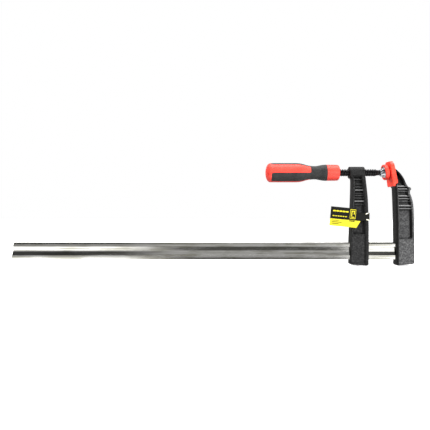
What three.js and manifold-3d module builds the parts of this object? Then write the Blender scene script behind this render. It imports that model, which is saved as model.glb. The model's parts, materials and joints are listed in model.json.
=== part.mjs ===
// F clamp, 120 mm throat by 600 mm opening: a plated rail, a fixed and a sliding cast jaw, a screw
// spindle with a two-part handle and a swivel pad, a plastic cap on each pressing face, and a hang
// tag on a strap.
// Millimetres. X runs along the rail towards the fixed jaw, Y through the jaws (the front faces -Y),
// Z up the arms. The origin is the bottom centre of the whole clamp.
import * as THREE from "three";
import { mergeVertices } from "three/addons/utils/BufferGeometryUtils.js";
import Module from "manifold-3d";

// ---- Driving dimensions -------------------------------------------------------------------------

// Opening and rail
const OPENING = 600; // between the pads with the sliding jaw at the free end and the spindle drawn back
const RAIL_BEYOND_OPENING = 89; // rail inside the jaws and left free at its end
const RAIL_HEIGHT = 28;
const RAIL_THICKNESS = 11;
const RAIL_GROOVE_WIDTH = 14.5;
const RAIL_GROOVE_DEPTH = 2.3;
const RAIL_GROOVE_SLOPE = 1.8;
const RAIL_EDGE_CHAMFER = 0.8;
const RAIL_END_SLANT = 12; // degrees, the free end's shear cut
const RAIL_END_RECESS = 1; // the rail's end behind the fixed jaw's outer face

// Throat and play
const THROAT = 120; // spindle axis above the rail's top
const REST_GAP = 2.3; // between the two pads as drawn
const RUNNING_GAP = 0.35; // sliding jaw on the rail, spindle in its sleeve
const FIT_GAP = 0.3; // between parts that are seated on each other

// Both jaws
const BOX_HALF_DEPTH = 10;
const FLANGE_HALF_DEPTH = 12;
const WEB_HALF_THICKNESS = 4;
const RIB_HALF_DEPTH = 8;
const RIB_HEIGHT = 1.8;
const OUTER_FLANGE = 3;
const BOX_BELOW_RAIL = 10.3;
const BOX_SOLE_SLOPE = 5; // degrees, lowest at the side that faces the work
const BOX_CORNER = 4;

// Sliding jaw
const SLIDE_BOX_WIDTH = 26.8;
const SLIDE_TOP_WIDTH = 20.6;
const SLIDE_INNER_FLANGE = 6.5;
const SLIDE_OUTER_LEAN = 1.9;
const SLIDE_POCKET_ABOVE_RAIL = 13.5;
const SLEEVE_DIAMETER = 20.6;
const SLEEVE_LENGTH = 25.8;
const SLEEVE_OVERHANG = 4.8; // the sleeve's outer end past the arm
const SLIDE_RIBS_BELOW_AXIS = [12, 20, 30, 36, 49, 56];

// Fixed jaw
const FIXED_BOX_WIDTH = 26.3;
const FIXED_INNER_FLANGE = 5;
const FIXED_INNER_LEAN = 3.1;
const FIXED_POCKET_ABOVE_RAIL = 5;
const FIXED_RIBS_BELOW_AXIS = [24, 28, 40, 45, 57, 62];
const PAD_TILT = 7.5; // degrees, the top leans towards the work
const PAD_STAND_OFF = 12.4; // pressing face ahead of the box's inner face, at the spindle's height
const PIN_DIAMETER = 5;
const PIN_SPACING = 15;

// Fixed jaw cap
const CAP_WALL = 2.7;
const CAP_ABOVE_AXIS = 18.9;
const CAP_BELOW_AXIS = 24.6;
const CAP_LIP_TOP = 6.0;
const CAP_LIP_BOTTOM = 8.3;
const CAP_LIP_END_BELOW_AXIS = 19.4;
const CAP_BEVEL = 3;
const CAP_CORNER = 5;

// Spindle and swivel
const SPINDLE_DIAMETER = 12;
const SPINDLE_EXTENSION = 32.1; // ball centre ahead of the sleeve
const NECK_DIAMETER = 7.6;
const NECK_LENGTH = 5;
const NECK_TAPER = 4.5;
const BALL_DIAMETER = 9;
const BALL_STEM_DIAMETER = 4.8;
const SWIVEL_DIAMETER = 27;
const SWIVEL_CAP_WALL = 2;
const SWIVEL_CAP_LENGTH = 6.7;
const SWIVEL_CAP_FACE = 2.4;
const SWIVEL_CAP_MOUTH = 20.8;
const SWIVEL_FACE_AHEAD = 8.6; // pressing face ahead of the ball's centre
const COLLAR_LENGTH = 6.4;
const COLLAR_NECK_DIAMETER = 11.6;
const SOCKET_GRIP = 0.6; // how much narrower the socket's mouth is than the ball
const PLATE_THICKNESS = 2;

// Handle, from its butt to its collar
const HANDLE_LENGTH = 126.6;
const HANDLE_DIAMETER = 33;
const HANDLE_WAIST_DIAMETER = 22.6;
const HANDLE_COLLAR_DIAMETER = 27.4;
const HANDLE_TO_SLEEVE = 17.2;
const HANDLE_DOME = 9.5;
const HANDLE_WAIST_FROM_BUTT = 83;
const HANDLE_COLLAR_LENGTH = 20;
const GRIP_THICKNESS = 2.4;
const GRIP_PANEL_START = 9.5;
const GRIP_SLEEVE_LENGTH = 27;
const GRIP_PANELS = 3;
const GRIP_PANEL_ANGLE = 60;
const GRIP_PANEL_FIRST = -35.5; // degrees, middle of the front panel above the horizontal
const SPINDLE_TAIL = 70; // how far the spindle stands in the handle
const TAIL_STEP = 1.5; // the tail's radius under the thread's
const THREAD_IN_HANDLE = 2;

// Tag
const CARD_THICKNESS = 0.8;
const CARD_WIDTH = 44.5;
const CARD_HEIGHT = 32.5;
const CARD_BAND_HEIGHT = 12.5;
const CARD_BAND_OVERRUN = 7.5;
const CARD_TILT = 5.5; // degrees, clockwise from the front
const CARD_BELOW_AXIS = 90.4; // its lower left corner
const CARD_LEFT_OF_ARM = 39.5;
const STRAP_WIDTH = 13;
const STRAP_THICKNESS = 1;
const STRAP_BELOW_AXIS = 76;

// ---- Derived places -----------------------------------------------------------------------------

const RAIL_BOTTOM = BOX_BELOW_RAIL;
const RAIL_TOP = RAIL_BOTTOM + RAIL_HEIGHT;
const RAIL_MIDDLE = RAIL_BOTTOM + RAIL_HEIGHT / 2;
const AXIS_Z = RAIL_TOP + THROAT;

const RAIL_LENGTH = OPENING + RAIL_BEYOND_OPENING;
const OVERALL_LENGTH = RAIL_LENGTH + RAIL_END_RECESS;
const FIXED_OUTER = OVERALL_LENGTH / 2;
const FIXED_INNER = FIXED_OUTER - FIXED_BOX_WIDTH;
const RAIL_END = FIXED_OUTER - RAIL_END_RECESS;
const RAIL_FREE_END = RAIL_END - RAIL_LENGTH;

const PAD_TILT_RAD = THREE.MathUtils.degToRad(PAD_TILT);
const PAD_X = FIXED_INNER - PAD_STAND_OFF;
const BALL_X = PAD_X - (REST_GAP + SWIVEL_FACE_AHEAD) / Math.cos(PAD_TILT_RAD);
const SLEEVE_INNER_END = BALL_X - SPINDLE_EXTENSION;
const SLEEVE_OUTER_END = SLEEVE_INNER_END - SLEEVE_LENGTH;
const HANDLE_END = SLEEVE_OUTER_END - HANDLE_TO_SLEEVE;
const HANDLE_BUTT = HANDLE_END - HANDLE_LENGTH;

const SLIDE_TOP_OUTER = SLEEVE_OUTER_END + SLEEVE_OVERHANG;
const SLIDE_TOP_INNER = SLIDE_TOP_OUTER + SLIDE_TOP_WIDTH;
const SLIDE_OUTER = SLIDE_TOP_OUTER - SLIDE_OUTER_LEAN;
const SLIDE_INNER = SLIDE_OUTER + SLIDE_BOX_WIDTH;
const SLEEVE_RADIUS = SLEEVE_DIAMETER / 2;

const wasm = await Module();
wasm.setup();

// ---- Solids from three.js geometry --------------------------------------------------------------

// A closed geometry as a solid that manifold-3d can cut and join.
function solid(geometry) {
  const bare = geometry.index ? geometry.toNonIndexed() : geometry.clone();
  bare.deleteAttribute("normal");
  bare.deleteAttribute("uv");
  const merged = mergeVertices(bare, 1e-4);
  const made = new wasm.Manifold(
    new wasm.Mesh({
      numProp: 3,
      vertProperties: merged.attributes.position.array,
      triVerts: new Uint32Array(merged.index.array),
    }),
  );
  return made;
}

// A solid back as a three.js geometry.
function geometryOf(made) {
  const mesh = made.getMesh();
  const geometry = new THREE.BufferGeometry();
  geometry.setAttribute("position", new THREE.BufferAttribute(mesh.vertProperties, 3));
  geometry.setIndex(new THREE.BufferAttribute(mesh.triVerts, 1));
  return geometry;
}

function union(parts) {
  return parts.reduce((all, part) => all.add(part));
}

// An outline of [x, z] points, taken anticlockwise from the front, as a slab from y = low to y = high.
function slab(outline, low, high) {
  const shape = new THREE.Shape(outline.map(([x, z]) => new THREE.Vector2(x, z)));
  const geometry = new THREE.ExtrudeGeometry(shape, { depth: high - low, bevelEnabled: false });
  geometry.rotateX(Math.PI / 2);
  geometry.translate(0, high, 0);
  return geometry;
}

function slabSolid(outline, halfDepth) {
  return solid(slab(outline, -halfDepth, halfDepth));
}

// A profile of [along, radius] points turned about the X axis, then moved up to height z.
function turned(profile, z, segments) {
  const points = profile.map(([along, radius]) => new THREE.Vector2(radius, along));
  const geometry = new THREE.LatheGeometry(points, segments);
  geometry.rotateZ(-Math.PI / 2);
  geometry.rotateX(Math.PI / 2);
  geometry.translate(0, 0, z);
  return geometry;
}

function rodX(radius, from, to, z, segments = 32) {
  return solid(turned([[from, 0], [from, radius], [to, radius], [to, 0]], z, segments));
}

function box(x0, x1, y0, y1, z0, z1) {
  const geometry = new THREE.BoxGeometry(x1 - x0, y1 - y0, z1 - z0);
  geometry.translate((x0 + x1) / 2, (y0 + y1) / 2, (z0 + z1) / 2);
  return solid(geometry);
}

// Points of an arc from one angle to another, in degrees.
function arc(cx, cz, radius, from, to, steps) {
  return Array.from({ length: steps + 1 }, (_, i) => {
    const angle = THREE.MathUtils.degToRad(from + ((to - from) * i) / steps);
    return [cx + radius * Math.cos(angle), cz + radius * Math.sin(angle)];
  });
}

// ---- Jaws ---------------------------------------------------------------------------------------

// Height of a jaw's sloping sole at x: zero at the side that faces the work.
function soleHeight(x, workSide) {
  return Math.abs(x - workSide) * Math.tan(THREE.MathUtils.degToRad(BOX_SOLE_SLOPE));
}

// The front and the back half of a recess in the web: outline cut down to the web's own thickness.
function pockets(outline) {
  return union([
    solid(slab(outline, -FLANGE_HALF_DEPTH - 1, -WEB_HALF_THICKNESS)),
    solid(slab(outline, WEB_HALF_THICKNESS, FLANGE_HALF_DEPTH + 1)),
  ]);
}

// Ribs across a pocket, at the given depths below the spindle's axis.
function ribs(x0, x1, depths) {
  return union(
    depths.map((depth) =>
      box(x0, x1, -RIB_HALF_DEPTH, RIB_HALF_DEPTH, AXIS_Z - depth - RIB_HEIGHT, AXIS_Z - depth),
    ),
  );
}

function railSlot(x0, x1, gap) {
  const halfY = RAIL_THICKNESS / 2 + gap;
  return box(x0, x1, -halfY, halfY, RAIL_BOTTOM - gap, RAIL_TOP + gap);
}

function slidingJaw() {
  const straightTop = RAIL_TOP + 0.42 * THROAT;
  const shoulder = AXIS_Z - 0.1 * THROAT;
  const inner = [
    [SLIDE_INNER, straightTop],
    [SLIDE_INNER - 1.2, straightTop + 22],
    [SLIDE_TOP_INNER, shoulder],
    [SLIDE_TOP_INNER - 0.8, AXIS_Z],
  ];
  const soleOuter = soleHeight(SLIDE_OUTER, SLIDE_INNER);
  const outline = [
    [SLIDE_OUTER, soleOuter + BOX_CORNER],
    [SLIDE_OUTER + BOX_CORNER * 0.3, soleOuter + BOX_CORNER * 0.3],
    [SLIDE_OUTER + BOX_CORNER, soleOuter - 0.2],
    [SLIDE_INNER - BOX_CORNER, 0],
    [SLIDE_INNER - BOX_CORNER * 0.3, BOX_CORNER * 0.3],
    [SLIDE_INNER, BOX_CORNER],
    ...inner,
    [SLIDE_TOP_OUTER, AXIS_Z],
    [SLEEVE_OUTER_END + 0.6, AXIS_Z - 6],
    [SLIDE_TOP_OUTER, shoulder],
  ];
  const flange = [
    [SLIDE_INNER - SLIDE_INNER_FLANGE, 0.4],
    ...outline.slice(3, 6),
    ...inner,
    [SLIDE_TOP_INNER - SLIDE_INNER_FLANGE, AXIS_Z],
    [SLIDE_TOP_INNER - SLIDE_INNER_FLANGE, shoulder],
    [SLIDE_INNER - SLIDE_INNER_FLANGE, straightTop],
  ];
  const pocketFloor = RAIL_TOP + SLIDE_POCKET_ABOVE_RAIL;
  const pocketTop = AXIS_Z - SLEEVE_RADIUS + 0.5;
  const pocket = [
    [SLIDE_OUTER + OUTER_FLANGE, pocketFloor],
    [SLIDE_INNER - SLIDE_INNER_FLANGE, pocketFloor],
    [SLIDE_INNER - SLIDE_INNER_FLANGE, straightTop],
    [SLIDE_TOP_INNER - SLIDE_INNER_FLANGE, pocketTop],
    [SLIDE_TOP_OUTER + OUTER_FLANGE, pocketTop],
  ];
  const body = slabSolid(outline, BOX_HALF_DEPTH)
    .subtract(pockets(pocket))
    .add(ribs(SLIDE_OUTER + 2, SLIDE_TOP_INNER - 3, SLIDE_RIBS_BELOW_AXIS))
    .add(slabSolid(flange, FLANGE_HALF_DEPTH));
  const headRoom = box(
    SLEEVE_OUTER_END - 1,
    SLEEVE_INNER_END + 1,
    -FLANGE_HALF_DEPTH - 1,
    FLANGE_HALF_DEPTH + 1,
    AXIS_Z - 2,
    AXIS_Z + SLEEVE_DIAMETER,
  );
  const sleeve = rodX(SLEEVE_RADIUS, SLEEVE_OUTER_END, SLEEVE_INNER_END, AXIS_Z, 36);
  const bore = SPINDLE_DIAMETER / 2 + RUNNING_GAP;
  return body
    .subtract(headRoom)
    .add(sleeve)
    .subtract(rodX(bore, SLEEVE_OUTER_END - 2, SLEEVE_INNER_END + 2, AXIS_Z))
    .subtract(railSlot(SLIDE_OUTER - 1, SLIDE_INNER + 1, RUNNING_GAP));
}

// A point on the fixed jaw's head, given by its distance behind the pressing face and its height along it.
function headPoint(behind, along) {
  const c = Math.cos(PAD_TILT_RAD);
  const s = Math.sin(PAD_TILT_RAD);
  return [PAD_X + behind * c - along * s, AXIS_Z + behind * s + along * c];
}

// The fixed jaw's back edge above the box, as [ahead of the outer face, below the spindle's axis], going up.
const FIXED_BACK = [
  [1.2, 66],
  [2.2, 54.6],
  [4.9, 43],
  [7.4, 34.5],
  [7.2, 31.6],
  [4.6, 28.6],
  [5.3, 26.5],
  [8.9, 25],
  [12.6, 19.7],
  [16.5, 11],
  [23, 1.5],
  [31.6, -9.6],
];

function fixedOutline() {
  const head = CAP_WALL + FIT_GAP;
  const soleOuter = soleHeight(FIXED_OUTER, FIXED_INNER);
  const kneeZ = RAIL_TOP + 0.31 * THROAT;
  return [
    [FIXED_INNER, BOX_CORNER],
    [FIXED_INNER + BOX_CORNER * 0.3, BOX_CORNER * 0.3],
    [FIXED_INNER + BOX_CORNER, 0],
    [FIXED_OUTER - BOX_CORNER, soleOuter - 0.2],
    [FIXED_OUTER - BOX_CORNER * 0.3, soleOuter + BOX_CORNER * 0.3],
    [FIXED_OUTER, soleOuter + BOX_CORNER],
    ...FIXED_BACK.map(([ahead, below]) => [FIXED_OUTER - ahead, AXIS_Z - below]),
    headPoint(head + 2, CAP_ABOVE_AXIS - CAP_WALL - FIT_GAP),
    headPoint(head, CAP_ABOVE_AXIS - CAP_WALL - FIT_GAP),
    headPoint(head, -CAP_BELOW_AXIS + 1),
    [FIXED_INNER - FIXED_INNER_LEAN, AXIS_Z - CAP_BELOW_AXIS - 2.5],
    [FIXED_INNER - 1.5, AXIS_Z - 48],
    [FIXED_INNER, kneeZ],
  ];
}

function fixedJaw() {
  const outline = fixedOutline();
  const innerEdge = outline.slice(-6);
  const flange = [
    ...outline.slice(0, 3),
    [FIXED_INNER + FIXED_INNER_FLANGE, 0.4],
    [FIXED_INNER + FIXED_INNER_FLANGE, RAIL_TOP + 0.31 * THROAT],
    [FIXED_INNER - 1.5 + FIXED_INNER_FLANGE, AXIS_Z - 48],
    [FIXED_INNER - FIXED_INNER_LEAN + FIXED_INNER_FLANGE, AXIS_Z - CAP_BELOW_AXIS - 2.5],
    headPoint(CAP_LIP_BOTTOM + 0.6, -CAP_LIP_END_BELOW_AXIS),
    headPoint(CAP_LIP_TOP + 1.6, CAP_ABOVE_AXIS - 8),
    headPoint(CAP_WALL + FIT_GAP + 2, CAP_ABOVE_AXIS - CAP_WALL - FIT_GAP),
    ...innerEdge.slice(1),
  ];
  const back = FIXED_BACK.filter(([, below]) => below < 24 || below > 32);
  const pocket = [
    [FIXED_INNER + FIXED_INNER_FLANGE, RAIL_TOP + FIXED_POCKET_ABOVE_RAIL],
    [FIXED_OUTER - OUTER_FLANGE - 3, RAIL_TOP + FIXED_POCKET_ABOVE_RAIL],
    [FIXED_OUTER - OUTER_FLANGE, RAIL_TOP + FIXED_POCKET_ABOVE_RAIL + 3],
    ...back.slice(0, -2).map(([ahead, below]) => [FIXED_OUTER - ahead - OUTER_FLANGE, AXIS_Z - below]),
    headPoint(CAP_LIP_TOP + 3, 6),
    headPoint(CAP_LIP_BOTTOM + 0.6, -CAP_LIP_END_BELOW_AXIS),
    [FIXED_INNER - FIXED_INNER_LEAN + FIXED_INNER_FLANGE, AXIS_Z - CAP_BELOW_AXIS - 2.5],
    [FIXED_INNER - 1.5 + FIXED_INNER_FLANGE, AXIS_Z - 48],
    [FIXED_INNER + FIXED_INNER_FLANGE, RAIL_TOP + 0.31 * THROAT],
  ];
  const ribEnds = FIXED_RIBS_BELOW_AXIS.map((depth) => {
    const lean = depth < 50 ? 9 : 4;
    return box(
      FIXED_INNER + 1,
      FIXED_OUTER - lean - 1,
      -RIB_HALF_DEPTH,
      RIB_HALF_DEPTH,
      AXIS_Z - depth - RIB_HEIGHT,
      AXIS_Z - depth,
    );
  });
  let jaw = slabSolid(outline, BOX_HALF_DEPTH)
    .subtract(pockets(pocket))
    .add(union(ribEnds))
    .add(slabSolid(flange, FLANGE_HALF_DEPTH))
    .subtract(railSlot(FIXED_INNER - 1, FIXED_OUTER + 1, FIT_GAP));
  for (const z of pinHeights()) jaw = jaw.subtract(pinBore(z));
  return jaw;
}

// ---- Pins that hold the fixed jaw on the rail ---------------------------------------------------

function pinHeights() {
  return [RAIL_MIDDLE + PIN_SPACING / 2, RAIL_MIDDLE - PIN_SPACING / 2];
}

const PIN_X = (FIXED_INNER + FIXED_OUTER) / 2;
const PIN_FRONT = -BOX_HALF_DEPTH + 2;
const PIN_BACK = BOX_HALF_DEPTH - 0.4;

function pinGeometry(z, radius, front, back) {
  const geometry = new THREE.CylinderGeometry(radius, radius, back - front, 16);
  geometry.translate(PIN_X, (front + back) / 2, z);
  return geometry;
}

function pinBore(z) {
  const radius = PIN_DIAMETER / 2 + FIT_GAP;
  return solid(pinGeometry(z, radius, PIN_FRONT - FIT_GAP, BOX_HALF_DEPTH + 3));
}

// ---- Rail ---------------------------------------------------------------------------------------

function rail() {
  const y = RAIL_THICKNESS / 2;
  const floor = y - RAIL_GROOVE_DEPTH;
  const h = RAIL_HEIGHT / 2;
  const g = RAIL_GROOVE_WIDTH / 2;
  const c = RAIL_EDGE_CHAMFER;
  const side = [
    [y - c, -h],
    [y, -h + c],
    [y, -g],
    [floor, -g + RAIL_GROOVE_SLOPE],
    [floor, g - RAIL_GROOVE_SLOPE],
    [y, g],
    [y, h - c],
    [y - c, h],
  ];
  const otherSide = side.map(([py, pz]) => [-py, -pz]);
  const section = new THREE.Shape([...side, ...otherSide].map(([py, pz]) => new THREE.Vector2(py, pz)));
  const geometry = new THREE.ExtrudeGeometry(section, { depth: RAIL_LENGTH, bevelEnabled: false });
  geometry.rotateX(Math.PI / 2);
  geometry.rotateZ(Math.PI / 2);
  geometry.translate(RAIL_FREE_END, 0, RAIL_MIDDLE);
  const slant = Math.tan(THREE.MathUtils.degToRad(RAIL_END_SLANT)) * RAIL_HEIGHT;
  const shear = [
    [RAIL_FREE_END, RAIL_BOTTOM + RAIL_EDGE_CHAMFER],
    [RAIL_FREE_END + slant, RAIL_TOP + RAIL_EDGE_CHAMFER],
    [RAIL_FREE_END - slant, RAIL_TOP + RAIL_EDGE_CHAMFER],
  ];
  let bar = solid(geometry).subtract(slabSolid(shear, RAIL_THICKNESS));
  for (const z of pinHeights()) bar = bar.subtract(pinBore(z));
  return bar;
}

// ---- Fixed jaw cap ------------------------------------------------------------------------------

function fixedCap() {
  const halfWidth = FLANGE_HALF_DEPTH + FIT_GAP + CAP_WALL;
  const side = [
    headPoint(0, -CAP_BELOW_AXIS),
    headPoint(CAP_WALL, -CAP_BELOW_AXIS),
    headPoint(CAP_WALL + 2, -CAP_LIP_END_BELOW_AXIS),
    headPoint(CAP_LIP_BOTTOM, -CAP_LIP_END_BELOW_AXIS),
    headPoint(CAP_LIP_TOP, CAP_ABOVE_AXIS),
    headPoint(CAP_BEVEL, CAP_ABOVE_AXIS),
    headPoint(0, CAP_ABOVE_AXIS - CAP_BEVEL),
  ];
  const hollow = [
    headPoint(CAP_WALL, -CAP_BELOW_AXIS - 2),
    headPoint(CAP_LIP_BOTTOM + 4, -CAP_BELOW_AXIS - 2),
    headPoint(CAP_LIP_BOTTOM + 4, CAP_ABOVE_AXIS - CAP_WALL),
    headPoint(CAP_WALL, CAP_ABOVE_AXIS - CAP_WALL),
  ];
  const corners = [];
  for (const end of [-1, 1]) {
    for (const front of [-1, 1]) {
      corners.push(cornerCut(front, end, halfWidth));
    }
  }
  return slabSolid(side, halfWidth)
    .subtract(slabSolid(hollow, FLANGE_HALF_DEPTH + FIT_GAP))
    .subtract(union(corners));
}

// A wedge that takes off one corner of the cap, seen square on to its pressing face.
function cornerCut(front, end, halfWidth) {
  const along = end > 0 ? CAP_ABOVE_AXIS : CAP_BELOW_AXIS;
  const wedge = new THREE.Shape();
  wedge.moveTo(front * (halfWidth - CAP_CORNER), end * (along + 1));
  wedge.lineTo(front * (halfWidth + 1), end * (along + 1));
  wedge.lineTo(front * (halfWidth + 1), end * (along - CAP_CORNER));
  const geometry = new THREE.ExtrudeGeometry(wedge, { depth: CAP_LIP_BOTTOM + 4, bevelEnabled: false });
  geometry.rotateX(Math.PI / 2);
  geometry.rotateZ(Math.PI / 2);
  geometry.translate(-1, 0, 0);
  geometry.rotateY(-PAD_TILT_RAD);
  geometry.translate(PAD_X, 0, AXIS_Z);
  return solid(geometry);
}

// ---- Spindle, ball and swivel -------------------------------------------------------------------

function spindle() {
  const radius = SPINDLE_DIAMETER / 2;
  const neckEnd = BALL_X - BALL_DIAMETER / 2 - 1.2;
  const neckStart = neckEnd - NECK_LENGTH;
  return turned(
    [
      [HANDLE_END - SPINDLE_TAIL, 0],
      [HANDLE_END - SPINDLE_TAIL, radius - TAIL_STEP],
      [HANDLE_END - THREAD_IN_HANDLE, radius - TAIL_STEP],
      [HANDLE_END - THREAD_IN_HANDLE, radius],
      [neckStart - NECK_TAPER, radius],
      [neckStart, NECK_DIAMETER / 2],
      [neckEnd, NECK_DIAMETER / 2],
      [neckEnd, 0],
    ],
    AXIS_Z,
    32,
  );
}

function swivelBall() {
  const radius = BALL_DIAMETER / 2;
  const stem = BALL_STEM_DIAMETER / 2;
  const stemAngle = 180 - THREE.MathUtils.radToDeg(Math.asin(stem / radius));
  const neckEnd = BALL_X - radius - 1.2;
  return turned(
    [[neckEnd + FIT_GAP, 0], [neckEnd + FIT_GAP, stem], ...ballProfile(radius, stemAngle, 0)],
    AXIS_Z,
    28,
  );
}

// [along, radius] points of a ball about the swivel's centre, from one angle off the +X axis to another.
function ballProfile(radius, from, to) {
  const points = arc(BALL_X, 0, radius, from, to, 10);
  if (to === 0) points[points.length - 1][1] = 0;
  return points;
}

// The swivel's parts are drawn along the spindle's axis and then tilted about the ball's centre.
function tilted(geometry) {
  geometry.translate(-BALL_X, 0, -AXIS_Z);
  geometry.rotateY(-PAD_TILT_RAD);
  geometry.translate(BALL_X, 0, AXIS_Z);
  return geometry;
}

const SWIVEL_FACE = BALL_X + SWIVEL_FACE_AHEAD;
const SWIVEL_RIM = SWIVEL_FACE - SWIVEL_CAP_LENGTH;

function swivelPlate() {
  const socket = BALL_DIAMETER / 2 + FIT_GAP;
  const mouth = (BALL_DIAMETER - SOCKET_GRIP) / 2;
  const front = SWIVEL_FACE - SWIVEL_CAP_FACE - FIT_GAP;
  const discRadius = SWIVEL_DIAMETER / 2 - SWIVEL_CAP_WALL - FIT_GAP;
  const collarEnd = SWIVEL_RIM - COLLAR_LENGTH + 0.3;
  const mouthAngle = 180 - THREE.MathUtils.radToDeg(Math.asin(mouth / socket));
  const inside = ballProfile(socket, 0, mouthAngle);
  inside[0][1] = 0;
  return tilted(
    turned(
      [
        ...inside,
        [collarEnd, mouth],
        [collarEnd, COLLAR_NECK_DIAMETER / 2],
        [SWIVEL_RIM - 1, SWIVEL_CAP_MOUTH / 2 - 2.2],
        [SWIVEL_RIM + 1.4, SWIVEL_CAP_MOUTH / 2 - 0.9],
        [front - PLATE_THICKNESS, SWIVEL_CAP_MOUTH / 2 - 0.6],
        [front - PLATE_THICKNESS, discRadius],
        [front, discRadius],
        [front, 0],
      ],
      AXIS_Z,
      40,
    ),
  );
}

function swivelCap() {
  const radius = SWIVEL_DIAMETER / 2;
  const inside = radius - SWIVEL_CAP_WALL;
  const floor = SWIVEL_FACE - SWIVEL_CAP_FACE;
  const mouth = SWIVEL_CAP_MOUTH / 2;
  return tilted(
    turned(
      [
        [floor, 0],
        [floor, inside],
        [SWIVEL_RIM + 1.8, inside],
        [SWIVEL_RIM + 1.4, mouth],
        [SWIVEL_RIM + 0.4, mouth],
        [SWIVEL_RIM, radius - 1.4],
        [SWIVEL_RIM + 1.2, radius],
        [SWIVEL_FACE - 0.8, radius],
        [SWIVEL_FACE, radius - 0.8],
        [SWIVEL_FACE, 0],
      ],
      AXIS_Z,
      48,
    ),
  );
}

// ---- Handle -------------------------------------------------------------------------------------

// The handle's outer profile as [along, radius] points from the butt, drawn in by the given amount.
function handleProfile(inset) {
  const full = HANDLE_DIAMETER / 2;
  const waist = HANDLE_WAIST_DIAMETER / 2;
  const collar = HANDLE_COLLAR_DIAMETER / 2;
  const waistX = HANDLE_BUTT + HANDLE_WAIST_FROM_BUTT;
  const collarX = HANDLE_END - HANDLE_COLLAR_LENGTH;
  const dome = arc(0, 0, 1, 180, 90, 6).map(([c, s]) => [
    HANDLE_BUTT + HANDLE_DOME * (1 + c),
    full * Math.pow(Math.abs(s), 0.55),
  ]);
  dome[0][1] = 0;
  const shoulderX = HANDLE_BUTT + HANDLE_WAIST_FROM_BUTT * 0.65;
  const swell = [0.25, 0.5, 0.75].map((t) => [
    THREE.MathUtils.lerp(shoulderX, waistX, t),
    THREE.MathUtils.lerp(full, waist, THREE.MathUtils.smoothstep(t, 0, 1)),
  ]);
  const flare = [0.35, 0.7].map((t) => [
    THREE.MathUtils.lerp(waistX, collarX, t),
    THREE.MathUtils.lerp(waist, collar, THREE.MathUtils.smoothstep(t, 0, 1)),
  ]);
  const points = [
    ...dome,
    [shoulderX - 12, full],
    [shoulderX, full - 0.3],
    ...swell,
    [waistX, waist],
    [waistX + 5, waist],
    ...flare,
    [collarX, collar],
    [HANDLE_END - 3.5, collar - 0.5],
    [HANDLE_END - 1, collar - 2],
    [HANDLE_END, collar - 3.7],
    [HANDLE_END, 0],
  ];
  return points.map(([x, r]) => [x, r === 0 ? 0 : Math.max(r - inset, 0)]);
}

function wedgeAlongX(middle, angle, x0, x1) {
  const reach = HANDLE_DIAMETER;
  const shape = new THREE.Shape([
    new THREE.Vector2(0, 0),
    ...arc(0, 0, reach, middle - angle / 2, middle + angle / 2, 2).map(([y, z]) => new THREE.Vector2(-y, z)),
  ]);
  const geometry = new THREE.ExtrudeGeometry(shape, { depth: x1 - x0, bevelEnabled: false });
  geometry.rotateX(Math.PI / 2);
  geometry.rotateZ(Math.PI / 2);
  geometry.translate(x0, 0, AXIS_Z);
  return solid(geometry);
}

// The space of the soft grip: a shell from above the handle's surface to a depth under it, as a full
// sleeve and as long panels.
function gripSpace(depth, play, above) {
  const sleeveEnd = HANDLE_END - HANDLE_COLLAR_LENGTH + play;
  const sleeveStart = HANDLE_END - HANDLE_COLLAR_LENGTH - GRIP_SLEEVE_LENGTH - play;
  const panelStart = HANDLE_BUTT + GRIP_PANEL_START - play;
  const panelAngle = GRIP_PANEL_ANGLE + THREE.MathUtils.radToDeg((2 * play) / (HANDLE_DIAMETER / 2));
  const zones = [rodX(HANDLE_DIAMETER, sleeveStart, sleeveEnd, AXIS_Z)];
  for (let i = 0; i < GRIP_PANELS; i += 1) {
    const middle = GRIP_PANEL_FIRST + (i * 360) / GRIP_PANELS;
    zones.push(wedgeAlongX(middle, panelAngle, panelStart, sleeveStart + 1));
  }
  const outer = solid(turned(handleProfile(-above), AXIS_Z, 36));
  const inner = solid(turned(handleProfile(depth), AXIS_Z, 36));
  return outer.subtract(inner).intersect(union(zones));
}

function handleGrip() {
  return gripSpace(GRIP_THICKNESS, 0, 0);
}

function handleCore() {
  const tailRadius = SPINDLE_DIAMETER / 2 - TAIL_STEP + FIT_GAP;
  const tailStart = HANDLE_END - SPINDLE_TAIL - FIT_GAP;
  const bore = rodX(tailRadius, tailStart, HANDLE_END + 1, AXIS_Z);
  const mouthStart = HANDLE_END - THREAD_IN_HANDLE - FIT_GAP;
  const mouth = rodX(SPINDLE_DIAMETER / 2 + FIT_GAP, mouthStart, HANDLE_END + 1, AXIS_Z);
  return solid(turned(handleProfile(0), AXIS_Z, 36))
    .subtract(gripSpace(GRIP_THICKNESS + FIT_GAP, FIT_GAP, 1))
    .subtract(bore)
    .subtract(mouth);
}

// ---- Tag ----------------------------------------------------------------------------------------

const STRAP_INNER_Y = FLANGE_HALF_DEPTH + FIT_GAP;
const STRAP_OUTER_Y = STRAP_INNER_Y + STRAP_THICKNESS;

function tagStrap() {
  const left = SLIDE_OUTER - FIT_GAP;
  const right = SLIDE_INNER + FIT_GAP;
  const z = AXIS_Z - STRAP_BELOW_AXIS;
  const t = STRAP_THICKNESS;
  const half = STRAP_WIDTH / 2;
  const outside = box(left - t, right + t, -STRAP_OUTER_Y, STRAP_OUTER_Y, z - half, z + half);
  const inside = box(left, right, -STRAP_INNER_Y, STRAP_INNER_Y, z - STRAP_WIDTH, z + STRAP_WIDTH);
  return outside.subtract(inside);
}

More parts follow.
